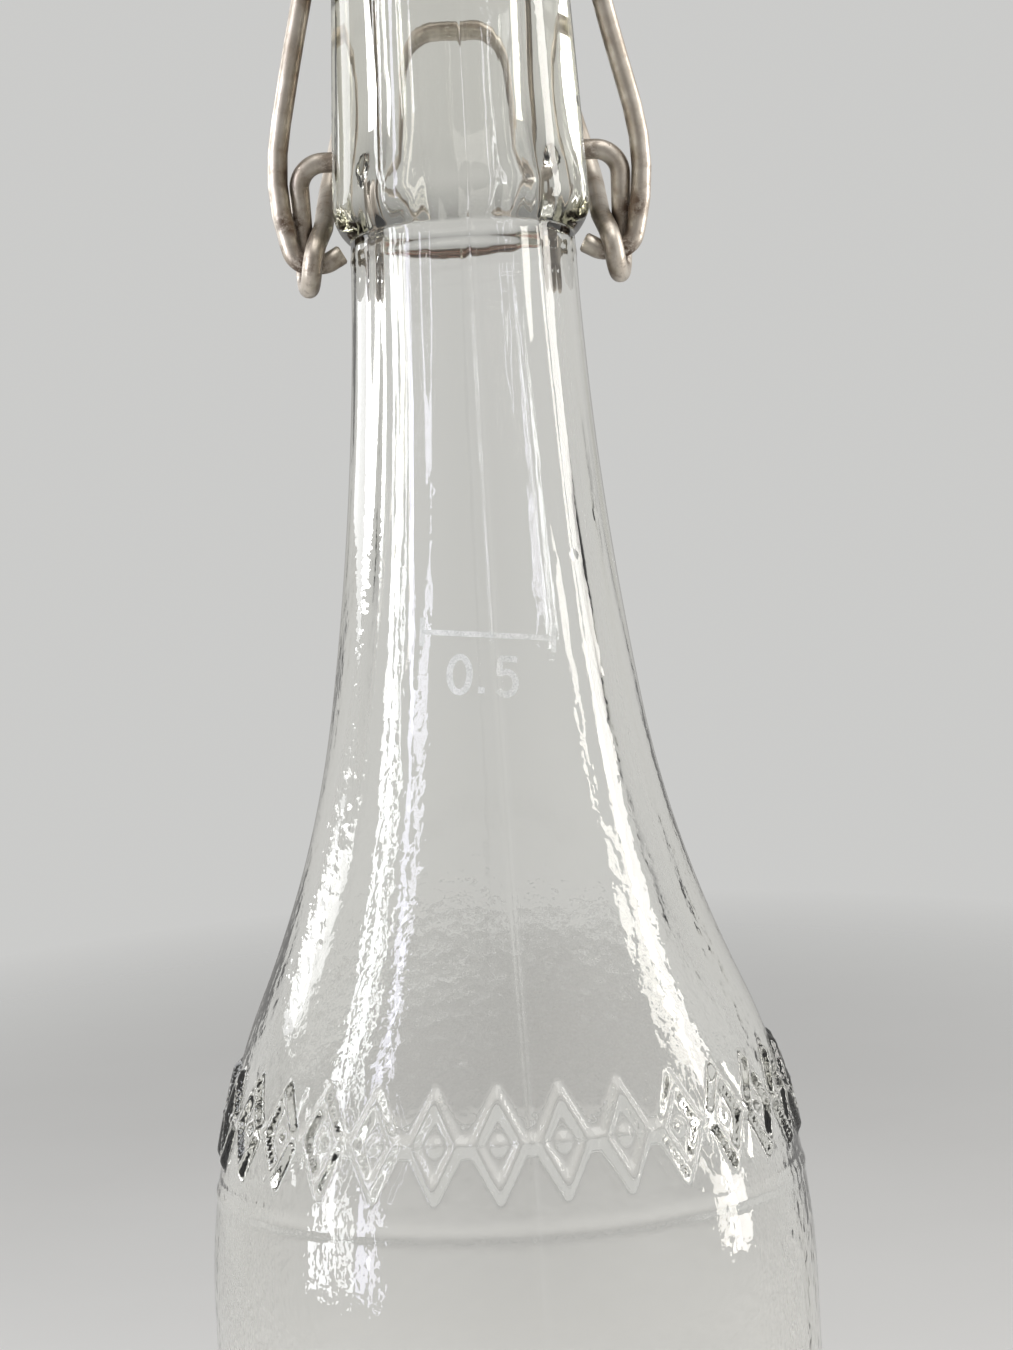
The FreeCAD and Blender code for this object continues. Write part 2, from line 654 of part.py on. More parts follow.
for item in doc.Objects:
    bad = {"Invalid", "Error"} & set(item.State)
    if bad:
        raise RuntimeError(f"{item.Name} did not build: {item.State}")
for part in parts:
    if part.Shape.isNull() or not part.Shape.isValid():
        raise RuntimeError(f"{part.Label} has no valid shape")

os.makedirs("parts", exist_ok=True)
for part in parts:
    part.Shape.exportStep(f"parts/{part.Label}.step")
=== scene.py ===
import logging
import math
from collections.abc import Sequence
from dataclasses import dataclass, field
from enum import Enum
from typing import ClassVar

import bpy
import numpy as np
from bpy.types import Material, Node, NodeSocket, NodeTree, Object
from mathutils import Matrix, Vector
from numpy import ndarray


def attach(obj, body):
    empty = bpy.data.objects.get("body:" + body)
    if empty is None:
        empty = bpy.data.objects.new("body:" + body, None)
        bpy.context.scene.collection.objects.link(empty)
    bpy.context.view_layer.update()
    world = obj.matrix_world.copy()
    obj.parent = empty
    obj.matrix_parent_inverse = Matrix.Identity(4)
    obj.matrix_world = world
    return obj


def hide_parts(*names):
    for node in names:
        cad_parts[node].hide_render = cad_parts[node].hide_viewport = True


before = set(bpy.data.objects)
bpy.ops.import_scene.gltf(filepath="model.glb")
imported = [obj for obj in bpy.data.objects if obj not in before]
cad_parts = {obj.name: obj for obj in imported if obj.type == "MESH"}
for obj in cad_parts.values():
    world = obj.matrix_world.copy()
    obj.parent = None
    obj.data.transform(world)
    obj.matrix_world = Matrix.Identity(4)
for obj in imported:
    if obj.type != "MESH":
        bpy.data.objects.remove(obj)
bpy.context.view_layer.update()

MM = 0.001
QUARTER = math.pi / 2
TURN = 2.0 * math.pi
NOISE = (0.3, 0.7)  # where nearly all values of a noise texture lie
LOG = logging.getLogger("swing_top_bottle")
Point = tuple[float, float]
Colour = tuple[float, float, float, float]
Faces = list[tuple[int, ...]]


class Body(Enum):
    """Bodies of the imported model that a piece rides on."""

    BOTTLE = "bottle"
    LEVER = "lever"
    BAIL = "bail"
    STOPPER = "stopper"


class Slot(Enum):
    """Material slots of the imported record."""

    GLASS = "glass"
    WIRE = "wire"
    PORCELAIN = "porcelain"
    RUBBER = "rubber"


# ---------------------------------------------------------------- shapes


def polar(centre: Point, radius: float, angle: float) -> Point:
    """Point at an angle (radians) on a circle."""
    return centre[0] + radius * math.cos(angle), centre[1] + radius * math.sin(angle)


@dataclass
class Section:
    """A half section that grows run by run, as (radius, height) points in millimetres."""

    points: list[Point]

    def line(self, end: Point, step: float) -> None:
        """Run straight to a point.

        Args:
            end: where the run ends.
            step: about how far apart its points are.
        """
        start = self.points[-1]
        count = max(1, round(math.dist(start, end) / step))
        for k in range(1, count + 1):
            self.points.append(tuple(a + (b - a) * (k / count) for a, b in zip(start, end)))

    def arc(self, centre: Point, radius: float, first: float, last: float, step: float) -> None:
        """Run along an arc, which starts at the last point so far.

        Args:
            centre: centre of the arc.
            radius: its radius.
            first: angle in radians where it starts.
            last: angle in radians where it ends.
            step: about how far apart its points are.
        """
        count = max(2, round(abs(last - first) * radius / step))
        for k in range(1, count + 1):
            self.points.append(polar(centre, radius, first + (last - first) * k / count))

    def array(self) -> ndarray:
        """The points as an array."""
        return np.array(self.points)


def smooth(low: float, high: float, value: ndarray) -> ndarray:
    """Soft step from 0 at low to 1 at high."""
    share = np.clip((value - low) / (high - low), 0.0, 1.0)
    return share * share * (3.0 - 2.0 * share)


def hump(off: ndarray, width: float) -> ndarray:
    """Rounded ridge: 1 in its middle, falling away over its width."""
    return np.exp(-((off / width) ** 2))


def apart(theta: ndarray, turn: float) -> ndarray:
    """Angle between each column and one turn, whichever way round is shorter."""
    return np.abs(np.mod(theta - turn + math.pi, TURN) - math.pi)


def columns(count: int) -> ndarray:
    """Angles of even columns round an axis."""
    return np.linspace(0.0, TURN, count, endpoint=False)


def headings(way: ndarray) -> ndarray:
    """Unit vectors along a way, one to each of its points."""
    along = np.gradient(way, axis=0)
    return along / np.linalg.norm(along, axis=1, keepdims=True)


def run_lengths(way: ndarray) -> ndarray:
    """Length that a way has run at each of its points."""
    return np.concatenate([[0.0], np.cumsum(np.linalg.norm(np.diff(way, axis=0), axis=1))])


def waves(
    theta: ndarray, height: ndarray, rounds: tuple[int, int], pitch: float, seed: int
) -> ndarray:
    """Uneven field of crossing waves that closes on itself round the axis.

    Args:
        theta: angle round the axis, in radians.
        height: height in millimetres.
        rounds: fewest and most waves round the axis.
        pitch: typical length of a wave up the axis, in millimetres.
        seed: picks the pattern.

    Returns:
        The field, mostly between -1 and 1.
    """
    dice = np.random.default_rng(seed)
    total = np.zeros(np.broadcast(theta, height).shape)
    for _ in range(9):
        turns = int(dice.integers(rounds[0], rounds[1] + 1)) * int(dice.choice((-1, 1)))
        rise = dice.normal(0.0, TURN / pitch)
        total += np.cos(turns * theta + rise * height + dice.uniform(0.0, TURN))
    return total / 4.0


def turned(points: ndarray, theta: ndarray, push: ndarray) -> ndarray:
    """Turn a section round the axis and push it out along its own normal.

    Args:
        points: (radius, height) points, with the skin's outside to the right of the way they run.
        theta: angles round the axis.
        push: how far out each point goes, one row to a section point.

    Returns:
        Places in millimetres, one ring to a section point.
    """
    slope = headings(points)
    radius = points[:, :1] + slope[:, 1:] * push
    height = points[:, 1:] - slope[:, :1] * push
    return np.stack([radius * np.cos(theta), radius * np.sin(theta), height], axis=2)


def stitched(counts: Sequence[int], loop: bool = False) -> Faces:
    """Faces between following rings.

    Args:
        counts: points in each ring: as many as in the one before, twice or half as many, or one.
        loop: also join the last ring to the first.

    Returns:
        Faces as numbers of points, which are counted ring after ring.
    """
    starts = [0, *np.cumsum(counts).tolist()]
    pairs = [(starts[k], counts[k], starts[k + 1], counts[k + 1]) for k in range(len(counts) - 1)]
    if loop:
        pairs.append((starts[-2], counts[-1], 0, counts[0]))
    faces: Faces = []
    for a, here, b, there in pairs:
        for k in range(max(here, there) if 1 in (here, there) else min(here, there)):
            n = (k + 1) % min(here, there)
            if here == there:
                faces.append((a + k, a + n, b + n, b + k))
            elif here == 1:
                faces.append((a, b + (k + 1) % there, b + k))
            elif there == 1:
                faces.append((a + k, a + (k + 1) % here, b))
            elif here > there:
                faces.append((a + 2 * k, a + 2 * k + 1, b + k))
                faces.append((a + 2 * k + 1, a + (2 * k + 2) % here, b + n, b + k))
            else:
                faces.append((a + k, b + 2 * k + 1, b + 2 * k))
                faces.append((a + k, a + n, b + (2 * k + 2) % there, b + 2 * k + 1))
    return faces


def meshed(name: str, places: ndarray, faces: Faces, sharp: float = 40.0) -> Object:
    """Make a smooth shaded piece.

    Args:
        name: the piece's name.
        places: its points in millimetres.
        faces: its faces, as numbers of points.
        sharp: faces that meet at more than this angle, in degrees, keep a crisp edge.

    Returns:
        The new object, in the scene.
    """
    mesh = bpy.data.meshes.new(name)
    mesh.from_pydata((places * MM).tolist(), [], faces)
    mesh.shade_smooth()
    mesh.set_sharp_from_angle(angle=math.radians(sharp))
    mesh.validate()
    piece = bpy.data.objects.new(name, mesh)
    bpy.context.scene.collection.objects.link(piece)
    return piece


def shaped(name: str, rings: Sequence[ndarray], loop: bool = False, sharp: float = 40.0) -> Object:
    """Make a smooth shaded piece from rings of places, the last joined to the first in a loop."""
    return meshed(name, np.concatenate(rings), stitched([len(ring) for ring in rings], loop), sharp)


def fitted(piece: Object, material: Material, body: Body, slot: Slot, *nodes: str) -> None:
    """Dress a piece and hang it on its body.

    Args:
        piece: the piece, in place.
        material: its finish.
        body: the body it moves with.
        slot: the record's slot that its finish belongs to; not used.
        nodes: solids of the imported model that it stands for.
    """
    piece.data.materials.clear()
    piece.data.materials.append(material)
    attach(piece, body.value)
    if nodes:
        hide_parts(*nodes)
    LOG.info("%s: %d faces on %s", piece.name, len(piece.data.polygons), body.value)


# ---------------------------------------------------------------- finishes


@dataclass(frozen=True)
class Value:
    """A number that a node puts out, which goes into sums as numbers do."""

    graph: "Graph"
    socket: NodeSocket

    def __add__(self, other: "float | Value") -> "Value":
        """This and another number."""
        return self.graph.sum("ADD", self, other)

    def __sub__(self, other: "float | Value") -> "Value":
        """This less another number."""
        return self.graph.sum("SUBTRACT", self, other)

    def __rsub__(self, other: float) -> "Value":
        """A plain number less this."""
        return self.graph.sum("SUBTRACT", other, self)

    def __mul__(self, other: "float | Value") -> "Value":
        """This times another number."""
        return self.graph.sum("MULTIPLY", self, other)

    def __truediv__(self, other: "float | Value") -> "Value":
        """This divided by another number."""
        return self.graph.sum("DIVIDE", self, other)

    def __rtruediv__(self, other: float) -> "Value":
        """A plain number divided by this."""
        return self.graph.sum("DIVIDE", other, self)

    def spread(
        self, low: "float | Value", high: "float | Value", first: float = 0.0, last: float = 1.0
    ) -> "Value":
        """This carried from one range to another and held at the ends."""
        node = self.graph.add("MapRange", {0: self, 1: low, 2: high, 3: first, 4: last})
        return Value(self.graph, node.outputs[0])


Setting = float | Sequence[float] | Node | NodeSocket | Value
Feeds = dict[str | int, Setting]


@dataclass
class Graph:
    """A node tree with short calls to add nodes and feed their inputs."""

    tree: NodeTree

    def feed(self, node: Node, values: Feeds) -> None:
        """Set inputs of a node, or link them to what feeds them.

        Args:
            node: the node.
            values: to each input, a plain value, or the value, socket or node that feeds it.
        """
        for name, value in values.items():
            source = value.socket if isinstance(value, Value) else value
            source = source.outputs[0] if isinstance(source, Node) else source
            if isinstance(source, NodeSocket):
                self.tree.links.new(source, node.inputs[name])
            else:
                node.inputs[name].default_value = source

    def add(self, kind: str, values: Feeds | None = None, **settings: object) -> Node:
        """Add a shader node.

        Args:
            kind: the node's type, less the words that all shader nodes start with.
            values: what its inputs hold, or what feeds them.
            settings: the node's own properties.

        Returns:
            The new node.
        """
        node = self.tree.nodes.new(f"ShaderNode{kind}")
        for name, value in settings.items():
            setattr(node, name, value)
        self.feed(node, values or {})
        return node

    def sum(self, operation: str, *values: Setting, clamp: bool = False) -> Value:
        """Result of a Math node."""
        node = self.add("Math", dict(enumerate(values)), operation=operation, use_clamp=clamp)
        return Value(self, node.outputs[0])

    def parts(self, source: Setting, kind: str = "SeparateXYZ") -> list[Value]:
        """The three numbers of a vector or a colour."""
        return [Value(self, socket) for socket in self.add(kind, {0: source}).outputs]

    def mixed(self, share: Setting, one: Setting, other: Setting) -> NodeSocket:
        """Mix of two colours."""
        return self.add("Mix", {0: share, 6: one, 7: other}, data_type="RGBA").outputs[2]

    def vector(self, operation: str, *values: Setting) -> NodeSocket:
        """Result of a Vector Math node."""
        return self.add("VectorMath", dict(enumerate(values)), operation=operation).outputs[0]

    def away(self, place: Setting, spot: Sequence[float]) -> Value:
        """Distance of a place from a spot."""
        node = self.add("VectorMath", {0: place, 1: spot}, operation="DISTANCE")
        return Value(self, node.outputs["Value"])

    def millimetres(self) -> NodeSocket:
        """The piece's own coordinates in millimetres."""
        place = self.add("TexCoord").outputs["Object"]
        return self.add("VectorMath", {0: place, 3: 1.0 / MM}, operation="SCALE").outputs[0]

    def noise(
        self, place: Setting, scale: Setting, detail: float = 2.0, rough: float = 0.5
    ) -> Value:
        """Value of a noise texture."""
        feeds: Feeds = {"Vector": place, "Scale": scale, "Detail": detail, "Roughness": rough}
        return Value(self, self.add("TexNoise", feeds).outputs[0])

    def bump(self, height: Setting, distance: float, strength: float) -> Node:
        """A Bump node."""
        return self.add("Bump", {"Height": height, "Distance": distance, "Strength": strength})


class Paint(Graph):
    """Graph of a new material, in which a Principled shader feeds the output."""

    def __init__(self, name: str) -> None:
        """Make the material.

        Args:
            name: the material's name.
        """
        self.material = bpy.data.materials.new(name)
        self.material.use_nodes = True
        super().__init__(self.material.node_tree)
        self.tree.nodes.clear()
        self.out = self.add("OutputMaterial")
        self.shader = self.add("BsdfPrincipled")
        self.feed(self.out, {"Surface": self.shader})


class Effects:
    """Surface effects that several finishes share, each built once as a node group."""

    def __init__(self) -> None:
        """Build the groups."""
        self.mottle = self._mottle()
        self.pits = self._pits()
        self.scuffs = self._scuffs()

    @staticmethod
    def _group(name: str, **feeds: float) -> tuple[Graph, list[Value]]:
        """Start a group that gives a mask.

        Args:
            name: the group's name.
            feeds: its named inputs, with the values they start from.

        Returns:
            Its graph, and what its named inputs bring.
        """
        tree = bpy.data.node_groups.new(name, "ShaderNodeTree")
        for label, value in feeds.items():
            socket = tree.interface.new_socket(label, in_out="INPUT", socket_type="NodeSocketFloat")
            socket.default_value = value
        tree.interface.new_socket("Mask", in_out="OUTPUT", socket_type="NodeSocketFloat")
        graph, brought = Graph(tree), tree.nodes.new("NodeGroupInput").outputs
        return graph, [Value(graph, brought[label]) for label in feeds]

    @staticmethod
    def _closed(graph: Graph, mask: Value) -> NodeTree:
        """The group, with its mask joined to its output."""
        graph.feed(graph.tree.nodes.new("NodeGroupOutput"), {"Mask": mask})
        return graph.tree

    def _mottle(self) -> NodeTree:
        """Broad soft patches, as of stain, bloom or glaze thickness.

        Returns:
            The group.
        """
        graph, (size, low, high) = self._group("mottle", Size=8.0, Low=0.35, High=0.65)
        broad = graph.noise(graph.millimetres(), 1.0 / size, 4.0, 0.55)
        return self._closed(graph, broad.spread(low, high))

    def _pits(self) -> NodeTree:
        """Scattered small round pits, some larger than others.

        Returns:
            The group.
        """
        graph, (spacing, share) = self._group("pits", Spacing=3.0, Share=0.3)
        cells = graph.add("TexVoronoi", {"Vector": graph.millimetres(), "Scale": 1.0 / spacing})
        pick, size, _ = graph.parts(cells.outputs["Color"], "SeparateColor")
        gone = Value(graph, cells.outputs["Distance"]) / size.spread(0.0, 1.0, 0.06, 0.2)
        dent = graph.sum("SUBTRACT", 1.0, gone, clamp=True)
        return self._closed(graph, dent * graph.sum("LESS_THAN", pick, share))

    def _scuffs(self) -> NodeTree:
        """Fine crossing scratches that come and go in patches.

        Returns:
            The group.
        """
        graph, (size, amount) = self._group("scuffs", Size=0.35, Amount=0.5)
        place = graph.millimetres()
        total: float | Value = 0.0
        for lean in ((1.0, 1.0, 0.06), (0.12, 0.12, 1.0)):
            fine = graph.noise(graph.vector("MULTIPLY", place, lean), 1.0 / size, 2.0, 0.6)
            total = graph.sum("MAXIMUM", total, fine.spread(0.62, 0.72))
        patch = graph.noise(place, 0.07, 3.0).spread(0.42, 0.66)
        return self._closed(graph, total * (patch * amount))

    @staticmethod
    def place(graph: Graph, group: NodeTree, **values: float) -> Value:
        """Put a group into a material with its own values and give its mask."""
        return Value(graph, graph.add("Group", dict(values), node_tree=group).outputs["Mask"])


@dataclass(frozen=True)
class Finish:
    """What all finishes share: a named material, dressed in the finish's own way."""

    name: ClassVar[str]

    def material(self, effects: Effects) -> Material:
        """The finish as a material.

        Args:
            effects: the shared node groups.

        Returns:
            The material.
        """
        paint = Paint(self.name)
        paint.feed(paint.shader, self._dressed(paint, effects))
        return paint.material

    def _dressed(self, paint: Paint, effects: Effects) -> Feeds:
        """What goes into the Principled shader."""
        raise NotImplementedError


@dataclass(frozen=True)
class GlassFinish(Finish):
    """Clear glass with a faint straw tint, a rippled skin on body and shoulder, and fine scuffs."""

    name: ClassVar[str] = "bottle_glass"
    tint: Colour = (0.81, 0.80, 0.71, 1.0)
    density: float = 55.0
    shade: Colour = (0.93, 0.94, 0.91, 1.0)
    ior: float = 1.52
    ripple_mm: float = 1.7
    ripple_depth: float = 0.000052
    ripple_fade: Point = (150.0, 205.0)
    ripple_left: float = 0.12
    drawn_lean: tuple[float, float, float] = (1.0, 1.0, 0.04)
    drawn_share: float = 0.5
    pit_share: float = 0.8
    polish: float = 0.004
    scuffed: float = 0.22

    def _dressed(self, paint: Paint, effects: Effects) -> Feeds:
        """Ripple, drawn lines and pits in the skin, and a pale shadow where light falls through.

        Args:
            paint: graph of the material.
            effects: the shared node groups.

        Returns:
            What goes into the Principled shader.
        """
        place = paint.millimetres()
        share = paint.parts(place)[2].spread(*self.ripple_fade, 1.0, self.ripple_left)
        coarse = paint.noise(place, 1.0 / self.ripple_mm, 2.0, 0.45)
        drawn = paint.noise(paint.vector("MULTIPLY", place, self.drawn_lean), 0.55, 2.0, 0.5)
        pits = effects.place(paint, effects.pits, Spacing=5.0, Share=0.22)
        worn = effects.place(paint, effects.scuffs, Size=0.3, Amount=0.5)
        skin = coarse * share + drawn * self.drawn_share - pits * self.pit_share
        clear = paint.add("BsdfTransparent", {0: self.shade})
        shadow = paint.add("LightPath").outputs["Is Shadow Ray"]
        paint.feed(paint.out, {
            "Surface": paint.add("MixShader", {0: shadow, 1: paint.shader, 2: clear}),
            "Volume": paint.add("VolumeAbsorption", {"Color": self.tint, "Density": self.density}),
        })
        return {
            "Base Color": (1.0, 1.0, 1.0, 1.0),
            "Transmission Weight": 1.0,
            "IOR": self.ior,
            "Roughness": worn * self.scuffed + self.polish,
            "Normal": paint.bump(skin, self.ripple_depth, 1.0),
        }


@dataclass(frozen=True)
class EtchFinish(Finish):
    """Frosted glass of the fill mark: a thin pale grain that lets some light through."""

    name: ClassVar[str] = "fill_mark_frost"
    pale: Colour = (0.93, 0.93, 0.92, 1.0)
    grey: Colour = (0.82, 0.83, 0.81, 1.0)
    veil: Point = (0.5, 0.95)
    veil_patch: float = 0.2
    grain_depth: float = 0.00004

    def _dressed(self, paint: Paint, effects: Effects) -> Feeds:
        """Grain that thins and thickens the frost.

        Args:
            paint: graph of the material.
            effects: the shared node groups.

        Returns:
            What goes into the Principled shader.
        """
        grain = paint.noise(paint.millimetres(), 5.0, 4.0, 0.7)
        patch = effects.place(paint, effects.mottle, Size=2.2, Low=0.3, High=0.7)
        veil = grain.spread(*NOISE, *self.veil)
        return {
            "Base Color": paint.mixed(patch, self.grey, self.pale),
            "Roughness": 0.75,
            "Alpha": paint.sum("ADD", veil, patch * self.veil_patch, clamp=True),
            "Normal": paint.bump(grain, self.grain_depth, 0.6),
        }


@dataclass(frozen=True)
class WireFinish(Finish):
    """Dull tinned steel wire with drawing lines and dents, painted shade on the side that faces the
    bottle, rusty low down, grime and painted shade where the wires meet.
    """

    name: ClassVar[str] = "tinned_wire"
    bright: Colour = (0.80, 0.75, 0.68, 1.0)
    dull: Colour = (0.44, 0.365, 0.29, 1.0)
    # painted shade: dark colour laid on the side of each wire that faces the bottle
    inner_shade_colour: Colour = (0.085, 0.060, 0.042, 1.0)
    # colour of rust and grime, which also lays painted shade in the crevices where the wires meet
    stain_and_shade: Colour = (0.10, 0.062, 0.040, 1.0)
    stain_height: Point = (226.0, 250.0)
    stain_share: Point = (0.85, 0.25)
    drawn_lean: tuple[float, float, float] = (5.0, 5.0, 0.12)
    # how far round, how strong and how patchy the painted shade on the inner side is
    inner_side: Point = (-0.7, 0.2)
    inner_share: float = 0.95
    inner_patch: Point = (0.75, 1.0)
    gloss: Point = (0.30, 0.44)
    rust_rough: float = 0.35
    rust_metal: float = 0.7
    scuff_rough: float = 0.12
    dent_depth: float = 0.00007
    # spots where the wires meet each other, the glass and the head: grime there, and painted shade in
    # the crevices
    contact_spots: tuple[tuple[float, float, float, float], ...] = (
        (18.4, 0.0, 232.0, 3.4),
        (20.4, 0.8, 237.2, 2.2),
        (15.6, 0.0, 244.3, 1.9),
        (10.4, 0.0, 278.0, 2.4),
    )

    def _grime_and_shade(self, paint: Paint) -> Value:
        """Grime where the two wires, the glass and the head rub together, and painted shade in the
        crevices where they meet.

        Args:
            paint: graph of the material.

        Returns:
            Mask of the grime and painted shade.
        """
        place = paint.vector("ABSOLUTE", paint.millimetres())
        total: float | Value = 0.0
        for *spot, reach in self.contact_spots:
            near = paint.away(place, spot).spread(0.45 * reach, reach, 1.0, 0.0)
            total = paint.sum("MAXIMUM", total, near)
        return total * paint.noise(paint.millimetres(), 1.3, 4.0, 0.65).spread(0.34, 0.54)

    def _dressed(self, paint: Paint, effects: Effects) -> Feeds:
        """Patchy tin, then painted shade on the side that faces the bottle, then rust, grime and
        painted crevice shade.

        Args:
            paint: graph of the material.
            effects: the shared node groups.

        Returns:
            What goes into the Principled shader.
        """
        height = paint.parts(paint.millimetres())[2]
        along = paint.add("Attribute", attribute_name="drawn").outputs["Vector"]
        outward = Value(paint, paint.add("Attribute", attribute_name="outward").outputs["Fac"])
        lines = paint.noise(paint.vector("MULTIPLY", along, self.drawn_lean), 1.0, 3.0, 0.6)
        patch = effects.place(paint, effects.mottle, Size=3.4, Low=0.36, High=0.66)
        speck = effects.place(paint, effects.mottle, Size=0.9, Low=0.5, High=0.62)
        dents = effects.place(paint, effects.pits, Spacing=1.6, Share=0.35)
        worn = effects.place(paint, effects.scuffs, Size=0.2, Amount=0.7)
        low = height.spread(*self.stain_height, *self.stain_share)
        # rust low down, and grime with painted crevice shade where the wires meet
        rust_and_shade = paint.sum("MAXIMUM", speck * patch * low, self._grime_and_shade(paint))
        # painted shade on the side of the wire that faces the bottle
        inner = outward.spread(*self.inner_side, self.inner_share, 0.0)
        inner = inner * patch.spread(0.0, 1.0, *self.inner_patch)
        tin = paint.mixed((patch + lines) * 0.5, self.bright, self.dull)
        rough = lines.spread(*NOISE, *self.gloss) + rust_and_shade * self.rust_rough
        return {
            "Base Color": paint.mixed(rust_and_shade, paint.mixed(inner, tin, self.inner_shade_colour), self.stain_and_shade),
            "Metallic": 1.0 - rust_and_shade * self.rust_metal,
            "Roughness": rough + worn * self.scuff_rough,
            "Normal": paint.bump(lines * 0.5 - dents * 0.9, self.dent_depth, 0.7),
        }


@dataclass(frozen=True)
class PorcelainFinish(Finish):
    """White glazed porcelain with a faint cream drift, pinholes, and grey rub marks at its hole."""

    name: ClassVar[str] = "glazed_porcelain"
    white: Colour = (0.86, 0.85, 0.81, 1.0)
    cream: Colour = (0.80, 0.775, 0.71, 1.0)
    rub: Colour = (0.40, 0.385, 0.36, 1.0)
    bar_height: float = 278.0
    rub_reach: Point = (1.3, 3.4)
    gloss: Point = (0.07, 0.14)
    glaze_depth: float = 0.00006

    def _dressed(self, paint: Paint, effects: Effects) -> Feeds:
        """Glaze that drifts from white to cream, marked by pinholes and by the bar.

        Args:
            paint: graph of the material.
            effects: the shared node groups.

        Returns:
            What goes into the Principled shader.
        """
        drift = effects.place(paint, effects.mottle, Size=9.0, Low=0.3, High=0.7)
        pits = effects.place(paint, effects.pits, Spacing=2.4, Share=0.12)
        worn = effects.place(paint, effects.scuffs, Size=0.3, Amount=0.8)
        _, back, height = paint.parts(paint.millimetres())
        rise = height - self.bar_height
        away = paint.sum("POWER", rise * rise + back * back, 0.5)
        rubbed = away.spread(*self.rub_reach, 0.75, 0.0) * drift.spread(0.0, 1.0, 0.5, 1.0)
        marked = paint.mixed(pits * 0.7, paint.mixed(drift, self.white, self.cream), self.rub)
        return {
            "Base Color": paint.mixed(rubbed, marked, self.rub),
            "Roughness": drift.spread(0.0, 1.0, *self.gloss) + (worn + rubbed) * 0.25,
            "Normal": paint.bump(drift - pits, self.glaze_depth, 0.5),
            "Coat Weight": 0.4,
            "Coat Roughness": 0.05,
        }


@dataclass(frozen=True)
class RubberFinish(Finish):
    """Matt red rubber with a fine moulded grain and a pale bloom, most where the rim presses."""

    name: ClassVar[str] = "red_rubber"
    red: Colour = (0.52, 0.13, 0.075, 1.0)
    dark: Colour = (0.38, 0.095, 0.055, 1.0)
    bloom: Colour = (0.74, 0.52, 0.44, 1.0)
    rim: float = 267.0
    pressed_depth: float = 0.5
    pressed_share: float = 0.85
    matt: Point = (0.5, 0.72)
    grain_depth: float = 0.0001

    def _dressed(self, paint: Paint, effects: Effects) -> Feeds:
        """Red that drifts darker, under bloom.

        Args:
            paint: graph of the material.
            effects: the shared node groups.

        Returns:
            What goes into the Principled shader.
        """
        place = paint.millimetres()
        grain = paint.noise(place, 4.5, 4.0, 0.65)
        drift = effects.place(paint, effects.mottle, Size=5.0, Low=0.35, High=0.68)
        dust = effects.place(paint, effects.mottle, Size=1.4, Low=0.5, High=0.75)
        pits = effects.place(paint, effects.pits, Spacing=1.2, Share=0.3)
        height = paint.parts(place)[2]
        pressed = height.spread(self.rim, self.rim + self.pressed_depth, self.pressed_share, 0.0)
        pale = paint.sum("MAXIMUM", dust * 0.4, pressed)
        return {
            "Base Color": paint.mixed(pale, paint.mixed(drift, self.red, self.dark), self.bloom),
            "Roughness": grain.spread(*NOISE, *self.matt),
            "Normal": paint.bump(grain - pits, self.grain_depth, 0.6),
        }


# ---------------------------------------------------------------- the bottle


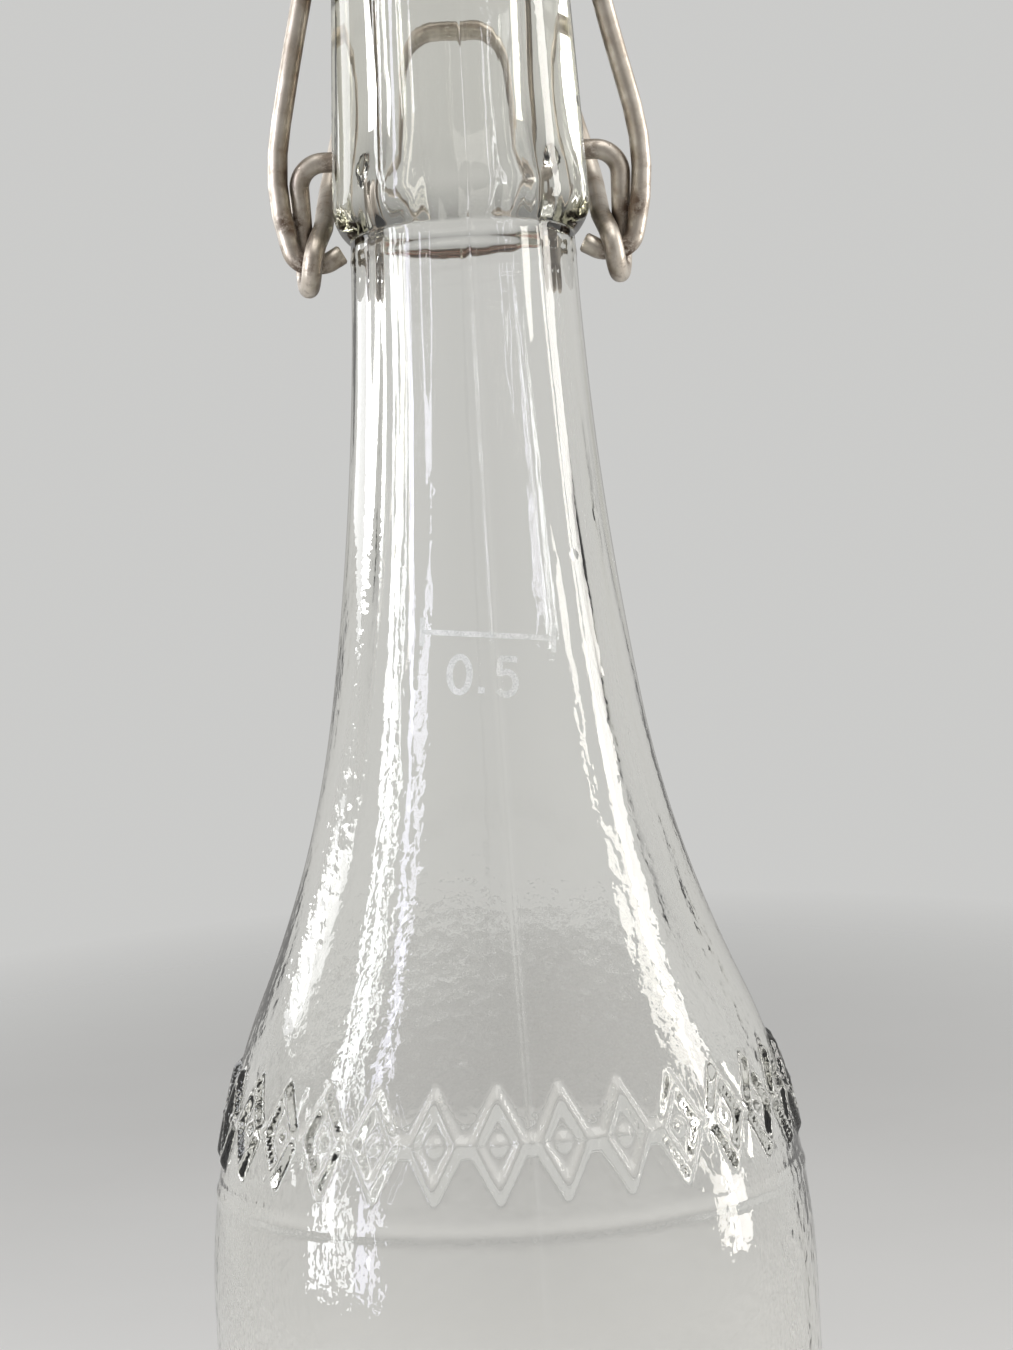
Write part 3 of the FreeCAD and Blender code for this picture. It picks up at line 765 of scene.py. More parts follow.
@dataclass
class GlassBottle:
    """The blown bottle in millimetres: skin with relief, seams and dimples, and uneven inside."""

    overall_height: float = 267.0
    body_radius: float = 36.0
    wall: float = 3.0
    heel_radius: float = 7.0
    bearing_width: float = 4.0
    push_up: float = 5.5
    floor_thickness: float = 5.0
    inner_heel_radius: float = 8.0
    shoulder_height: float = 110.0
    shoulder_radius: float = 86.4
    shoulder_angle: float = math.radians(24.0)
    flare_angle: float = math.radians(9.0)
    neck_draft: float = math.radians(2.2)
    neck_straight: float = 6.0
    neck_radius: float = 13.4
    collar_height: float = 32.7
    collar_radius: float = 15.4
    collar_curl: float = 5.1
    collar_crease: float = 0.45
    collar_draft: float = math.radians(2.7)
    lip_radius: float = 3.0
    lip_inner_radius: float = 1.3
    bore_radius: float = 8.3
    bore_depth: float = 14.0
    pivot_above_collar: float = 10.05
    dimple_depth: float = 2.8
    dimple_seat: float = 1.35
    dimple_flare: float = 0.7
    dimple_reach: float = 3.0
    dimple_ease: float = 0.25
    seam_turn: float = math.radians(-85.5)
    seam_height: float = 0.24
    seam_width: float = 0.32
    seam_columns: tuple[float, ...] = (-0.7, -0.3, 0.0, 0.3, 0.7)
    seam_start: Point = (4.0, 10.0)
    seam_neck: Point = (130.0, 165.0)
    seam_end: Point = (5.0, 2.0)
    seam_body_share: float = 0.6
    seam_collar_cut: float = 0.5
    parting_drop: float = 2.3
    parting: Point = (0.07, 0.4)
    band_height: float = 132.5
    band_slant: float = 1.04
    band_count: int = 30
    band_reach: int = 8
    lozenge: Point = (2.45, 4.9)
    lozenge_line: float = 0.62
    lozenge_rise: float = 0.72
    bead_radius: float = 0.95
    bead_rise: float = 0.5
    foot_line_height: float = 123.4
    foot_line: Point = (0.20, 0.75)
    fine_margin: Point = (2.4, 2.0)
    dense_margin: float = 1.6
    collar_fine: float = 3.2
    slack: Point = (0.17, 0.13)
    sway: float = 0.10
    nose_lumps: float = 0.13
    inside_sway: float = 0.32
    inside_lines: float = 0.10
    fill_height: float = 186.7
    fill_turn: float = math.radians(-87.5)
    columns: int = 300
    outside: ndarray = field(init=False)
    inside: ndarray = field(init=False)
    theta: ndarray = field(init=False)

    def __post_init__(self) -> None:
        """Lay out the half sections, and the columns round the axis, closer at the mould seams."""
        self.outside, self.inside = self._sections()
        seams = [self.seam_turn % TURN, (self.seam_turn + math.pi) % TURN]
        extra = [seam + math.radians(shift) for seam in seams for shift in self.seam_columns]
        self.theta = np.sort(np.concatenate([columns(self.columns), extra]))

    @property
    def collar_foot(self) -> float:
        """Height where the neck meets the collar."""
        return self.overall_height - self.collar_height

    @property
    def pivot(self) -> float:
        """Height of the dimples for the lever's pins."""
        return self.collar_foot + self.pivot_above_collar

    def _sections(self) -> tuple[ndarray, ndarray]:
        """Lay out the bottle's two half sections.

        Returns:
            Points of the outside, base to rim, and of the inside, rim to floor.
        """
        rim, collar_z, wall = self.overall_height, self.collar_foot, self.wall
        shoulder, flare, draft = self.shoulder_angle, self.flare_angle, self.neck_draft
        foot = self.body_radius - self.heel_radius
        bearing = foot - self.bearing_width
        dome = (bearing ** 2 + self.push_up ** 2) / (2 * self.push_up)
        dome_centre = (0.0, self.push_up - dome)
        shoulder_centre = (self.body_radius - self.shoulder_radius, self.shoulder_height)
        turn = polar(shoulder_centre, self.shoulder_radius, shoulder)
        neck_foot = polar((self.neck_radius, collar_z), self.neck_straight, draft - QUARTER)
        flare_radius, neck_curve = self._neck_curves(turn, neck_foot)
        flare_centre = polar(turn, flare_radius, shoulder)
        neck_centre = polar(neck_foot, neck_curve, draft)
        curl_x = self.collar_radius - self.collar_curl * math.cos(self.collar_draft)
        curl_drop = math.sqrt(self.collar_curl ** 2 - (self.neck_radius - curl_x) ** 2)
        curl_centre = (curl_x, collar_z + curl_drop)
        curl_top = polar(curl_centre, self.collar_curl, self.collar_draft)
        crease, meet = self._crease(curl_centre)
        lip_z = rim - self.lip_radius * (1 - math.sin(self.collar_draft))
        lip_start = (curl_top[0] - (lip_z - curl_top[1]) * math.tan(self.collar_draft), lip_z)
        lip_centre = polar(lip_start, self.lip_radius, math.pi + self.collar_draft)
        above_pivot = self.pivot + self.collar_fine
        share = (above_pivot - curl_top[1]) / (lip_z - curl_top[1])
        above = (curl_top[0] + (lip_start[0] - curl_top[0]) * share, above_pivot)
        band = (self.foot_line_height - self.fine_margin[0],
                self.band_height + self.lozenge[1] + self.fine_margin[1])
        fine = [math.asin((z - self.shoulder_height) / self.shoulder_radius)
                for z in band]

        out = Section([(0.0, self.push_up)])
        out.arc(dome_centre, dome, QUARTER, math.asin((dome - self.push_up) / dome), 3.2)
        out.line((foot, 0.0), 1.4)
        out.arc((foot, self.heel_radius), self.heel_radius, -QUARTER, 0.0, 1.2)
        out.line((self.body_radius, self.shoulder_height), 7.0)
        for first, last, step in ((0.0, fine[0], 1.1), (*fine, 0.42), (fine[1], shoulder, 1.1)):
            out.arc(shoulder_centre, self.shoulder_radius, first, last, step)
        out.arc(flare_centre, flare_radius, math.pi + shoulder, math.pi + flare, 1.6)
        out.arc(neck_centre, neck_curve, math.pi + flare, math.pi + draft, 2.4)
        out.line(polar(crease, self.collar_crease, math.pi + draft), 0.35)
        out.arc(crease, self.collar_crease, math.pi + draft, meet, 0.15)
        out.arc(curl_centre, self.collar_curl, meet - math.pi, self.collar_draft, 0.35)
        out.line(above, 0.28)
        out.line(lip_start, 1.7)
        out.arc(lip_centre, self.lip_radius, self.collar_draft, QUARTER, 0.45)
        out.line((self.bore_radius + self.lip_inner_radius, rim), 0.8)

        bore_z = rim - self.bore_depth
        inner_x = self.neck_radius - wall / math.cos(draft)
        ratio = (inner_x - self.bore_radius) / (bore_z - collar_z)
        reach = (1 + math.cos(draft) + ratio * math.sin(draft)) / (2 * math.hypot(1, ratio))
        bend = math.atan(ratio) + math.acos(reach)
        ease = (bore_z - collar_z) / (2 * math.sin(bend) - math.sin(draft))
        upper = (self.bore_radius + ease, bore_z)
        lower = polar(upper, 2 * ease, math.pi + bend)
        floor = dome + self.floor_thickness
        fillet_x = self.body_radius - wall - self.inner_heel_radius
        fillet_rise = math.sqrt((floor + self.inner_heel_radius) ** 2 - fillet_x ** 2)
        fillet = (fillet_x, dome_centre[1] + fillet_rise)
        floor_angle = math.atan2(fillet_rise, fillet_x)

        bore = Section([out.points[-1]])
        lip_inside = (bore.points[0][0], rim - self.lip_inner_radius)
        bore.arc(lip_inside, self.lip_inner_radius, QUARTER, math.pi, 0.4)
        bore.line((self.bore_radius, bore_z), 2.0)
        bore.arc(upper, ease, math.pi, math.pi + bend, 1.2)
        bore.arc(lower, ease, bend, draft, 1.2)
        bore.line(polar(neck_centre, neck_curve + wall, math.pi + draft), 2.0)
        bore.arc(neck_centre, neck_curve + wall, math.pi + draft, math.pi + flare, 2.6)
        bore.arc(flare_centre, flare_radius + wall, math.pi + flare, math.pi + shoulder, 1.8)
        bore.arc(shoulder_centre, self.shoulder_radius - wall, shoulder, 0.0, 1.6)
        bore.line((self.body_radius - wall, fillet[1]), 7.0)
        bore.arc(fillet, self.inner_heel_radius, 0.0, floor_angle - math.pi, 1.3)
        bore.arc(dome_centre, floor, floor_angle, QUARTER, 3.4)
        return out.array(), bore.array()

    def _crease(self, curl: Point) -> tuple[Point, float]:
        """Find the small round where the neck meets the collar.

        Args:
            curl: centre of the collar's curl.

        Returns:
            Centre of the round, and the angle at which the curl's centre lies from it.
        """
        foot = polar((self.neck_radius, self.collar_foot), self.collar_crease, self.neck_draft)
        away = (foot[0] - curl[0], foot[1] - curl[1])
        along = away[0] * math.sin(self.neck_draft) - away[1] * math.cos(self.neck_draft)
        reach = self.collar_curl + self.collar_crease
        down = math.sqrt(along ** 2 - away[0] ** 2 - away[1] ** 2 + reach ** 2) - along
        centre = polar(foot, down, self.neck_draft - QUARTER)
        return centre, math.atan2(curl[1] - centre[1], curl[0] - centre[0])

    def _neck_curves(self, start: Point, end: Point) -> tuple[float, float]:
        """Find the two arcs that lead from the shoulder to the straight neck.

        Args:
            start: end of the shoulder.
            end: foot of the straight neck.

        Returns:
            Radius of the lower and of the upper arc.
        """
        shoulder, flare, draft = self.shoulder_angle, self.flare_angle, self.neck_draft
        cosines = (math.cos(flare) - math.cos(shoulder), math.cos(draft) - math.cos(flare))
        sines = (math.sin(shoulder) - math.sin(flare), math.sin(flare) - math.sin(draft))
        across, up = start[0] - end[0], end[1] - start[1]
        scale = cosines[0] * sines[1] - cosines[1] * sines[0]
        lower, upper = across * sines[1] - cosines[1] * up, cosines[0] * up - sines[0] * across
        return lower / scale, upper / scale

    def _seam(self, theta: ndarray, height: ndarray, radius: ndarray) -> ndarray:
        """The two mould seams: low on body and collar, full on the neck, none at base and rim.

        Args:
            theta: angles round the axis.
            height: heights in millimetres.
            radius: plain radius of the skin at those heights.

        Returns:
            How far the skin stands out, in millimetres.
        """
        rim, collar_z = self.overall_height, self.collar_foot
        seam = np.zeros(np.broadcast(theta, height).shape)
        for turn in (self.seam_turn, self.seam_turn + math.pi):
            seam = np.maximum(seam, hump(apart(theta, turn) * radius, self.seam_width))
        fade, gone = (rim - drop for drop in self.seam_end)
        share = self.seam_body_share
        on_side = smooth(*self.seam_start, height) * (1.0 - smooth(fade, gone, height))
        on_side *= (share + (1.0 - share) * smooth(*self.seam_neck, height)
                    - self.seam_collar_cut * smooth(collar_z - 1.0, collar_z + 2.0, height))
        return self.seam_height * seam * on_side

    def relief(self, theta: ndarray, height: ndarray, radius: ndarray) -> ndarray:
        """Raised ornament and mould lines of the skin.

        Args:
            theta: angles round the axis.
            height: heights in millimetres.
            radius: plain radius of the skin at those heights.

        Returns:
            How far the skin stands out, in millimetres.
        """
        pitch = TURN / self.band_count
        across = np.abs((np.mod(theta - self.seam_turn, pitch) - pitch / 2) * radius)
        aside = apart(theta, self.seam_turn) / pitch
        up = (height - self.band_height) * self.band_slant
        wide, tall = self.lozenge
        off = across / wide + np.abs(up) / tall - 1.0
        off = np.abs(off * wide * tall / math.hypot(wide, tall))
        lozenge = smooth(1.35, 0.25, off / self.lozenge_line) * (aside < self.band_reach)
        beside = np.minimum(across, np.abs(pitch / 2 * radius - across))
        bead = smooth(1.2, 0.35, np.hypot(beside, up) / self.bead_radius)
        bead = bead * (aside < self.band_reach + 0.25)
        total = self.lozenge_rise * lozenge + self.bead_rise * bead
        for middle, (rise, width) in ((self.foot_line_height, self.foot_line),
                                      (self.collar_foot - self.parting_drop, self.parting)):
            total = total + rise * hump(height - middle, width)
        return total + self._seam(theta, height, radius)

    def skin(self, theta: ndarray, height: ndarray, radius: ndarray) -> ndarray:
        """Uneven outer skin, with its relief.

        Args:
            theta: angles round the axis.
            height: heights in millimetres.
            radius: plain radius of the skin at those heights.

        Returns:
            How far the skin stands out, in millimetres.
        """
        collar_z = self.collar_foot
        above = smooth(self.shoulder_height + 2.0, collar_z - 90.0, height)
        slack = self.slack[0] - self.slack[1] * above
        slack *= smooth(-0.5, 4.0, height) * (1.0 - smooth(collar_z - 6.0, collar_z, height))
        sway = self.sway * waves(theta, height, (1, 9), 46.0, 11) * smooth(2.0, 14.0, height)
        sway *= 1.0 - 0.75 * smooth(150.0, 200.0, height)
        sway *= 1.0 - smooth(collar_z - 8.0, collar_z - 2.0, height)
        nose = smooth(collar_z - 1.5, collar_z + 0.8, height)
        nose = nose * (1.0 - smooth(collar_z + 4.0, collar_z + 9.0, height))
        lumps = np.clip(0.5 + 0.6 * waves(theta, height, (4, 13), 11.0, 31), 0.0, 1.0) * nose
        relief = self.relief(theta, height, radius)
        return np.minimum(sway, slack * 0.6) - slack - self.nose_lumps * lumps + relief

    def _hollow(self) -> ndarray:
        """Uneven inside: drawn lines in the neck and an uneven wall below.

        Returns:
            How far the inside stands off its plain section, in millimetres.
        """
        height, theta = self.inside[:, 1:], self.theta[None, ::2]
        below = 1.0 - smooth(self.collar_foot + 1.0, self.collar_foot + 14.0, height)
        neck = smooth(140.0, 180.0, height)
        broad = self.inside_sway * waves(theta, height, (1, 5), 60.0, 5) * (1.0 - 0.55 * neck)
        drawn = self.inside_lines * waves(theta, height, (7, 23), 420.0, 21) * (0.35 + 0.65 * neck)
        return (broad + drawn) * below * smooth(8.0, 22.0, height)

    def _dimples(self, skin: ndarray) -> ndarray:
        """Press the two blind dimples for the lever's pins into the collar's sides.

        Args:
            skin: places on the outer skin, changed here.

        Returns:
            The same places.
        """
        out, ease = np.abs(skin[..., 0]), self.dimple_ease
        away = np.hypot(skin[..., 1], skin[..., 2] - self.pivot)
        deep = self.collar_radius - self.dimple_depth
        rise = np.maximum(away - self.dimple_seat, 0.0)
        cone = deep + rise * self.dimple_depth / self.dimple_flare
        near = (away < self.dimple_reach) & (out > deep)
        blend = ease * np.log1p(np.exp(-np.clip((cone - out) / ease, -40.0, 40.0)))
        soft = np.maximum(out - blend + blend.min(), deep)
        skin[..., 0] = np.where(near, np.sign(skin[..., 0]) * soft, skin[..., 0])
        return skin

    def build(self, glass: GlassFinish, etch: EtchFinish, effects: Effects) -> None:
        """Build the bottle and its fill mark, dress them and hang them on the bottle's body.

        Args:
            glass: finish of the bottle.
            etch: finish of the fill mark.
            effects: the shared node groups.
        """
        after = np.append(self.theta[1:], self.theta[0] + TURN)
        fine = np.stack([self.theta, (self.theta + after) / 2], axis=1).ravel()
        push = self.skin(fine[None, :], self.outside[:, 1:], self.outside[:, :1])
        skin = self._dimples(turned(self.outside, fine, push))
        hollow = turned(self.inside, self.theta[::2], self._hollow())
        band = np.abs(self.outside[:, 1] - self.band_height) < self.lozenge[1] + self.dense_margin
        rings = [skin[0, :1]]
        rings += [ring if dense else ring[::2] for ring, dense in zip(skin[1:], band[1:])]
        rings += [*hollow[1:-1], hollow[-1, :1]]
        bottle = shaped("blown_bottle", rings, sharp=50.0)
        fitted(bottle, glass.material(effects), Body.BOTTLE, Slot.GLASS, "bottle")
        fitted(FillMark(self).build(), etch.material(effects), Body.BOTTLE, Slot.GLASS)


@dataclass
class FillMark:
    """Fill line, end ticks and a plain half litre number etched on the neck, in millimetres."""

    bottle: GlassBottle
    half_length: float = 7.7
    tick: float = 1.6
    line_width: float = 0.62
    tilt: float = math.radians(-5.6)
    figure_height: float = 4.0
    figure_width: float = 2.3
    figure_drop: float = 4.6
    figure_at: tuple[float, float, float] = (-3.1, -0.55, 2.3)
    stroke_width: float = 0.72
    stop_width: float = 0.75
    film: float = 0.03
    lift: Point = (0.008, 0.002)
    neck_span: Point = (150.0, 230.0)
    step: float = 0.3

    def _strokes(self) -> list[tuple[list[Point], float]]:
        """Draw the mark on the unrolled glass.

        Returns:
            Its strokes, each as points with a width.
        """
        reach, tick, pen = self.half_length, self.tick, self.stroke_width
        wide, tall, low = self.figure_width / 2, self.figure_height / 2, -self.figure_drop
        nought, stop, five = self.figure_at
        ring = [(nought + wide * math.cos(a), low + tall * math.sin(a))
                for a in np.linspace(0.0, TURN, 29)]
        dot = [(stop, low - tall), (stop, low - tall + self.stop_width)]
        flag = [(five + wide * 0.9, low + tall), (five - wide * 0.75, low + tall),
                (five - wide * 0.82, low + 0.12 * tall)]
        bowl = [(five - 0.1 + wide * 0.95 * math.cos(a),
                 low - 0.36 * tall + 0.64 * tall * math.sin(a))
                for a in np.linspace(2.1, -2.5, 18)]
        lines = [[(-reach, 0.0), (reach, 0.0)]]
        lines += [[(end, -tick), (end, tick)] for end in (-reach, reach)]
        figures = [(ring, pen), (dot, self.stop_width), (flag + bowl, pen)]
        return [*((line, self.line_width) for line in lines), *figures]

    def _place(self, flat: ndarray, lift: float) -> ndarray:
        """Lay points of the unrolled mark on the glass.

        Args:
            flat: the points, as distances across and up.
            lift: how far above the glass they lie.

        Returns:
            Their places in millimetres.
        """
        cos, sin = math.cos(self.tilt), math.sin(self.tilt)
        across = flat[..., 0] * cos - flat[..., 1] * sin
        height = self.bottle.fill_height + (flat[..., 0] * sin + flat[..., 1] * cos)
        outside, (low, high) = self.bottle.outside, self.neck_span
        neck = (outside[:, 1] > low) & (outside[:, 1] < high)
        radius = np.interp(height, outside[neck, 1], outside[neck, 0])
        theta = self.bottle.fill_turn + across / radius
        radius = radius + self.bottle.skin(theta, height, radius) + lift
        return np.stack([radius * np.cos(theta), radius * np.sin(theta), height], axis=-1)

    def build(self) -> Object:
        """Build every stroke as a thin slab that follows the glass.

        Returns:
            The mark as one object.
        """
        places: list[ndarray] = []
        faces: Faces = []
        for number, (stroke, width) in enumerate(self._strokes()):
            way = self._even(np.array(stroke))
            along = headings(way)
            side = np.stack([-along[:, 1], along[:, 0]], axis=1)
            edge = np.linspace(-0.5, 0.5, 5) * width
            flat = way[:, None, :] + side[:, None, :] * edge[None, :, None]
            lift = self.lift[0] + self.lift[1] * number
            top, under = self._place(flat, lift + self.film), self._place(flat, lift)
            loops = np.concatenate([top, under[:, ::-1]], axis=1)
            start, count = sum(len(block) for block in places), loops.shape[1]
            places.append(loops.reshape(-1, 3))
            ends = [range(count), [(len(way) - 1) * count + k for k in reversed(range(count))]]
            slab = [*stitched([count] * len(way)), *ends]
            faces += [tuple(start + k for k in face) for face in slab]
        return meshed("fill_mark", np.concatenate(places), faces)

    def _even(self, stroke: ndarray) -> ndarray:
        """Space a stroke's points evenly.

        Args:
            stroke: points of the stroke.

        Returns:
            The same stroke with points an even step apart.
        """
        gone = run_lengths(stroke)
        spots = np.linspace(0.0, gone[-1], max(2, round(gone[-1] / self.step)) + 1)
        return np.stack([np.interp(spots, gone, stroke[:, axis]) for axis in range(2)], axis=1)


# ---------------------------------------------------------------- the wires


@dataclass
class BentWire:
    """One bent wire, made as its +X half and mirrored, in millimetres."""

    name: str
    corners: list[Vector]
    bends: list[float]
    radius: float
    sides: int = 28
    sway: float = 0.05
    sway_lengths: tuple[float, ...] = (17.0, 31.0, 53.0)
    sway_free: float = 8.0
    seed: int = 3
    run_step: float = 1.2
    least_run: float = 0.05
    bend_step: float = 7.0
    facing_span: float = 4.0
    end_face: float = 0.84
    end_ease: float = 0.22
    end_dish: float = 0.05
    nick: Vector | None = None
    nick_size: Point = (0.32, 0.6)

    def _half(self) -> ndarray:
        """Bend the +X half.

        Returns:
            Its centre line, from the middle to the tip.
        """
        way = [self.corners[0]]

        def run(end: Vector) -> None:
            """Go straight on to a point.

            Args:
                end: the point.
            """
            start = way[-1].copy()
            count = max(1, round((end - start).length / self.run_step))
            way.extend(start.lerp(end, k / count) for k in range(1, count + 1))

        stops = zip(self.corners, self.corners[1:], self.corners[2:], self.bends)
        for before, here, after, bend in stops:
            come, leave = (here - before).normalized(), (after - here).normalized()
            turn = come.angle(leave)
            start = here - come * (bend * math.tan(turn / 2))
            if (start - way[-1]).length > self.least_run:
                run(start)
            centre = here + (leave - come).normalized() * (bend / math.cos(turn / 2))
            spoke = start - centre
            axis = come.cross(leave).normalized()
            count = max(3, round(math.degrees(turn) / self.bend_step))
            turns = (Matrix.Rotation(turn * k / count, 3, axis) for k in range(1, count + 1))
            way.extend(centre + part @ spoke for part in turns)
        run(self.corners[-1])
        return np.array([list(place) for place in way])

    def _line(self) -> ndarray:
        """Mirror the half, and make the wire a little uneven as bent by hand.

        Returns:
            The whole centre line, from the -X tip to the +X tip.
        """
        half = self._half()
        way = np.concatenate([half[:0:-1] * np.array([-1.0, 1.0, 1.0]), half])
        gone = run_lengths(way)
        dice = np.random.default_rng(self.seed)
        ends = smooth(0.0, self.sway_free, gone) * smooth(0.0, self.sway_free, gone[-1] - gone)
        for axis in range(3):
            for length in self.sway_lengths:
                phase = dice.uniform(0.0, 6.28)
                way[:, axis] += self.sway / 2 * ends * np.sin(TURN * gone / length + phase)
        return way

    def build(self) -> Object:
        """Build the wire as a round tube with cut and deburred ends.

        Returns:
            The wire, with its drawing direction and the side that faces outward kept as attributes.
        """
        way = self._line()
        gone, along = run_lengths(way), headings(way)
        across = np.zeros_like(way)
        across[0] = np.cross(along[0], [0.0, 0.0, 1.0])
        for k in range(len(way)):
            guess = across[max(k - 1, 0)]
            guess = guess - along[k] * np.dot(guess, along[k])
            across[k] = guess / np.linalg.norm(guess)
        turn = columns(self.sides)
        wheel = np.stack([np.cos(turn), np.sin(turn)], axis=1)
        upward = np.cross(along, across)
        spoke = across[:, None, :] * wheel[None, :, :1] + upward[:, None, :] * wheel[None, :, 1:]
        tube = way[:, None, :] + spoke * self.radius
        if self.nick is not None:
            near = np.linalg.norm(tube - np.array(self.nick), axis=2)
            tube -= spoke * (self.nick_size[0] * hump(near, self.nick_size[1]))[..., None]
        first, last = (
            [way[k][None, :] - out * self.end_dish,
             way[k] + spoke[k] * self.radius * self.end_face,
             tube[k] - out * self.end_ease]
            for k, out in ((0, -along[0]), (-1, along[-1]))
        )
        wire = shaped(self.name, [*first, *tube[1:-1], *reversed(last)], sharp=50.0)

        rows = np.concatenate([gone[:1], gone, gone[-1:]])
        drawn = np.zeros((len(rows) * self.sides + 2, 3))
        drawn[1:-1, :2] = np.tile(wheel, (len(rows), 1))
        drawn[1:-1, 2] = np.repeat(rows, self.sides)
        drawn[-1, 2] = gone[-1]
        # how much each point faces away from the axis; the wire finish lays painted shade on the side
        # that faces the bottle
        facing = spoke[..., 0] * np.tanh(way[:, :1] / self.facing_span)
        facing = np.concatenate([[0.0], facing[0], facing.ravel(), facing[-1], [0.0]])
        marks = wire.data.attributes
        marks.new("drawn", "FLOAT_VECTOR", "POINT").data.foreach_set("vector", drawn.ravel())
        marks.new("outward", "FLOAT", "POINT").data.foreach_set("value", facing)
        return wire


@dataclass
class WireClosure:
    """Lever and bail of the swing closure, in millimetres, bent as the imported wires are."""

    bottle: GlassBottle
    wire_diameter: float = 2.4
    side_gap: float = 0.1
    strand_gap: float = 0.2
    eye_gap: float = 0.35
    hook_drop: float = 12.1
    lever_lean: float = math.radians(55.0)
    lever_reach: float = 15.0
    lever_knee_inset: float = 0.3
    lever_knee_bend: float = 8.0
    lever_rise: float = 17.3
    lever_back_gap: float = 0.3
    lever_corner_inset: float = 4.7
    lever_corner_bend: float = 11.0
    lever_arm_bend: float = 10.0
    lever_sway: float = 0.03
    pin_bend: float = 3.0
    eye_front_set: float = 0.9
    eye_back_set: float = 0.2
    pin_tip_gap: float = 0.15
    bail_bow: float = 0.95
    bail_bow_drop: float = 2.35
    bail_bow_bend: float = 30.0
    bail_top_reach: float = 14.6
    bail_top_bend: float = 3.5
    bail_nick: tuple[float, float, float] = (-19.07, -1.1, 258.0)
    bar_above_rim: float = 11.0
    hook_corner_set: float = 0.7
    hook_bend: float = 2.2
    hook_run: float = 3.65
    hook_tip_run: float = 1.95
    hook_tip_rise: float = 1.1
    hook_tip_bend: float = 2.5

    @property
    def strands(self) -> Point:
        """Distance from the axis to the inner and the outer strand of the lever's side."""
        inner = self.bottle.collar_radius + self.wire_diameter / 2 + self.side_gap
        return inner, inner + self.wire_diameter + self.strand_gap

    def lever(self) -> BentWire:
        """The lever: pin, eye round the hook, arm and the crossing behind the collar.

        Returns:
            The wire, from the middle of the crossing to the pin.
        """
        glass, pivot, lean = self.bottle, self.bottle.pivot, self.lever_lean
        eye = self.wire_diameter + self.eye_gap
        inner, outer = self.strands

        def eye_place(heading: float, reach: float, x: float) -> Vector:
            """Point beside the hook, seen by a bender who travels round it with this heading."""
            height = pivot - self.hook_drop + reach * math.cos(heading)
            return Vector((x, -reach * math.sin(heading), height))

        arrive = math.asin(eye / self.hook_drop) - QUARTER
        depart = -1.5 * math.pi - lean
        turn = (arrive - depart) / 3
        front, back = inner + self.eye_front_set, outer - self.eye_back_set
        ring = [
            eye_place(arrive - turn * (step + 0.5), eye / math.cos(turn / 2),
                      back + (front - back) * step / 2)
            for step in range(3)
        ]
        foot = eye_place(depart, eye, front)
        strand = QUARTER + arrive
        crossing = (pivot - foot.z) * math.sin(strand) - foot.y * math.cos(strand)
        crossing /= math.sin(lean + strand)
        slope = Vector((0.0, math.sin(lean), math.cos(lean)))
        arm, knee = foot + slope * crossing, foot + slope * self.lever_reach
        arm.x, knee.x = inner, inner - self.lever_knee_inset
        top = pivot + self.lever_rise
        collar_mid = glass.collar_foot + glass.collar_curl / 2
        stand_off = glass.collar_radius - math.tan(glass.collar_draft) * (top - collar_mid)
        back_y = stand_off + self.wire_diameter / 2 + self.lever_back_gap
        tip = glass.collar_radius - glass.dimple_depth + self.pin_tip_gap
        corner = Vector((inner - self.lever_corner_inset, back_y, top))
        corners = [
            Vector((0.0, back_y, top)), corner, knee, arm, *reversed(ring),
            Vector((outer, 0.0, pivot)), Vector((tip, 0.0, pivot)),
        ]
        bends = [self.lever_corner_bend, self.lever_knee_bend, self.lever_arm_bend]
        bends += [eye, eye, eye, self.pin_bend]
        radius, sway = self.wire_diameter / 2, self.lever_sway
        return BentWire("lever", corners, bends, radius, sway=sway, seed=8)

    def bail(self) -> BentWire:
        """The bail: bar through the stopper, bowed legs and the hooks in the lever's eyes.

        Returns:
            The wire, from the middle of the bar to the hook.
        """
        bar = self.bottle.overall_height + self.bar_above_rim
        hook = self.bottle.pivot - self.hook_drop
        outer = self.strands[1]
        corner = outer + self.hook_corner_set
        spots = [
            (0.0, bar),
            (self.bail_top_reach, bar),
            (outer + self.wire_diameter + self.bail_bow, self.bottle.pivot - self.bail_bow_drop),
            (corner, hook),
            (corner - self.hook_run, hook),
            (corner - self.hook_run - self.hook_tip_run, hook + self.hook_tip_rise),
        ]
        corners = [Vector((x, 0.0, z)) for x, z in spots]
        bends = [self.bail_top_bend, self.bail_bow_bend, self.hook_bend, self.hook_tip_bend]
        nick = Vector(self.bail_nick)
        return BentWire("bail", corners, bends, self.wire_diameter / 2, seed=4, nick=nick)

    def build(self, finish: WireFinish, effects: Effects) -> None:
        """Bend both wires, dress them and hang each on its body.

        Args:
            finish: finish of the wire.
            effects: the shared node groups.
        """
        tinned = finish.material(effects)
        fitted(self.lever().build(), tinned, Body.LEVER, Slot.WIRE, "lever_wire")
        fitted(self.bail().build(), tinned, Body.BAIL, Slot.WIRE, "bail_wire")


# ---------------------------------------------------------------- the stopper


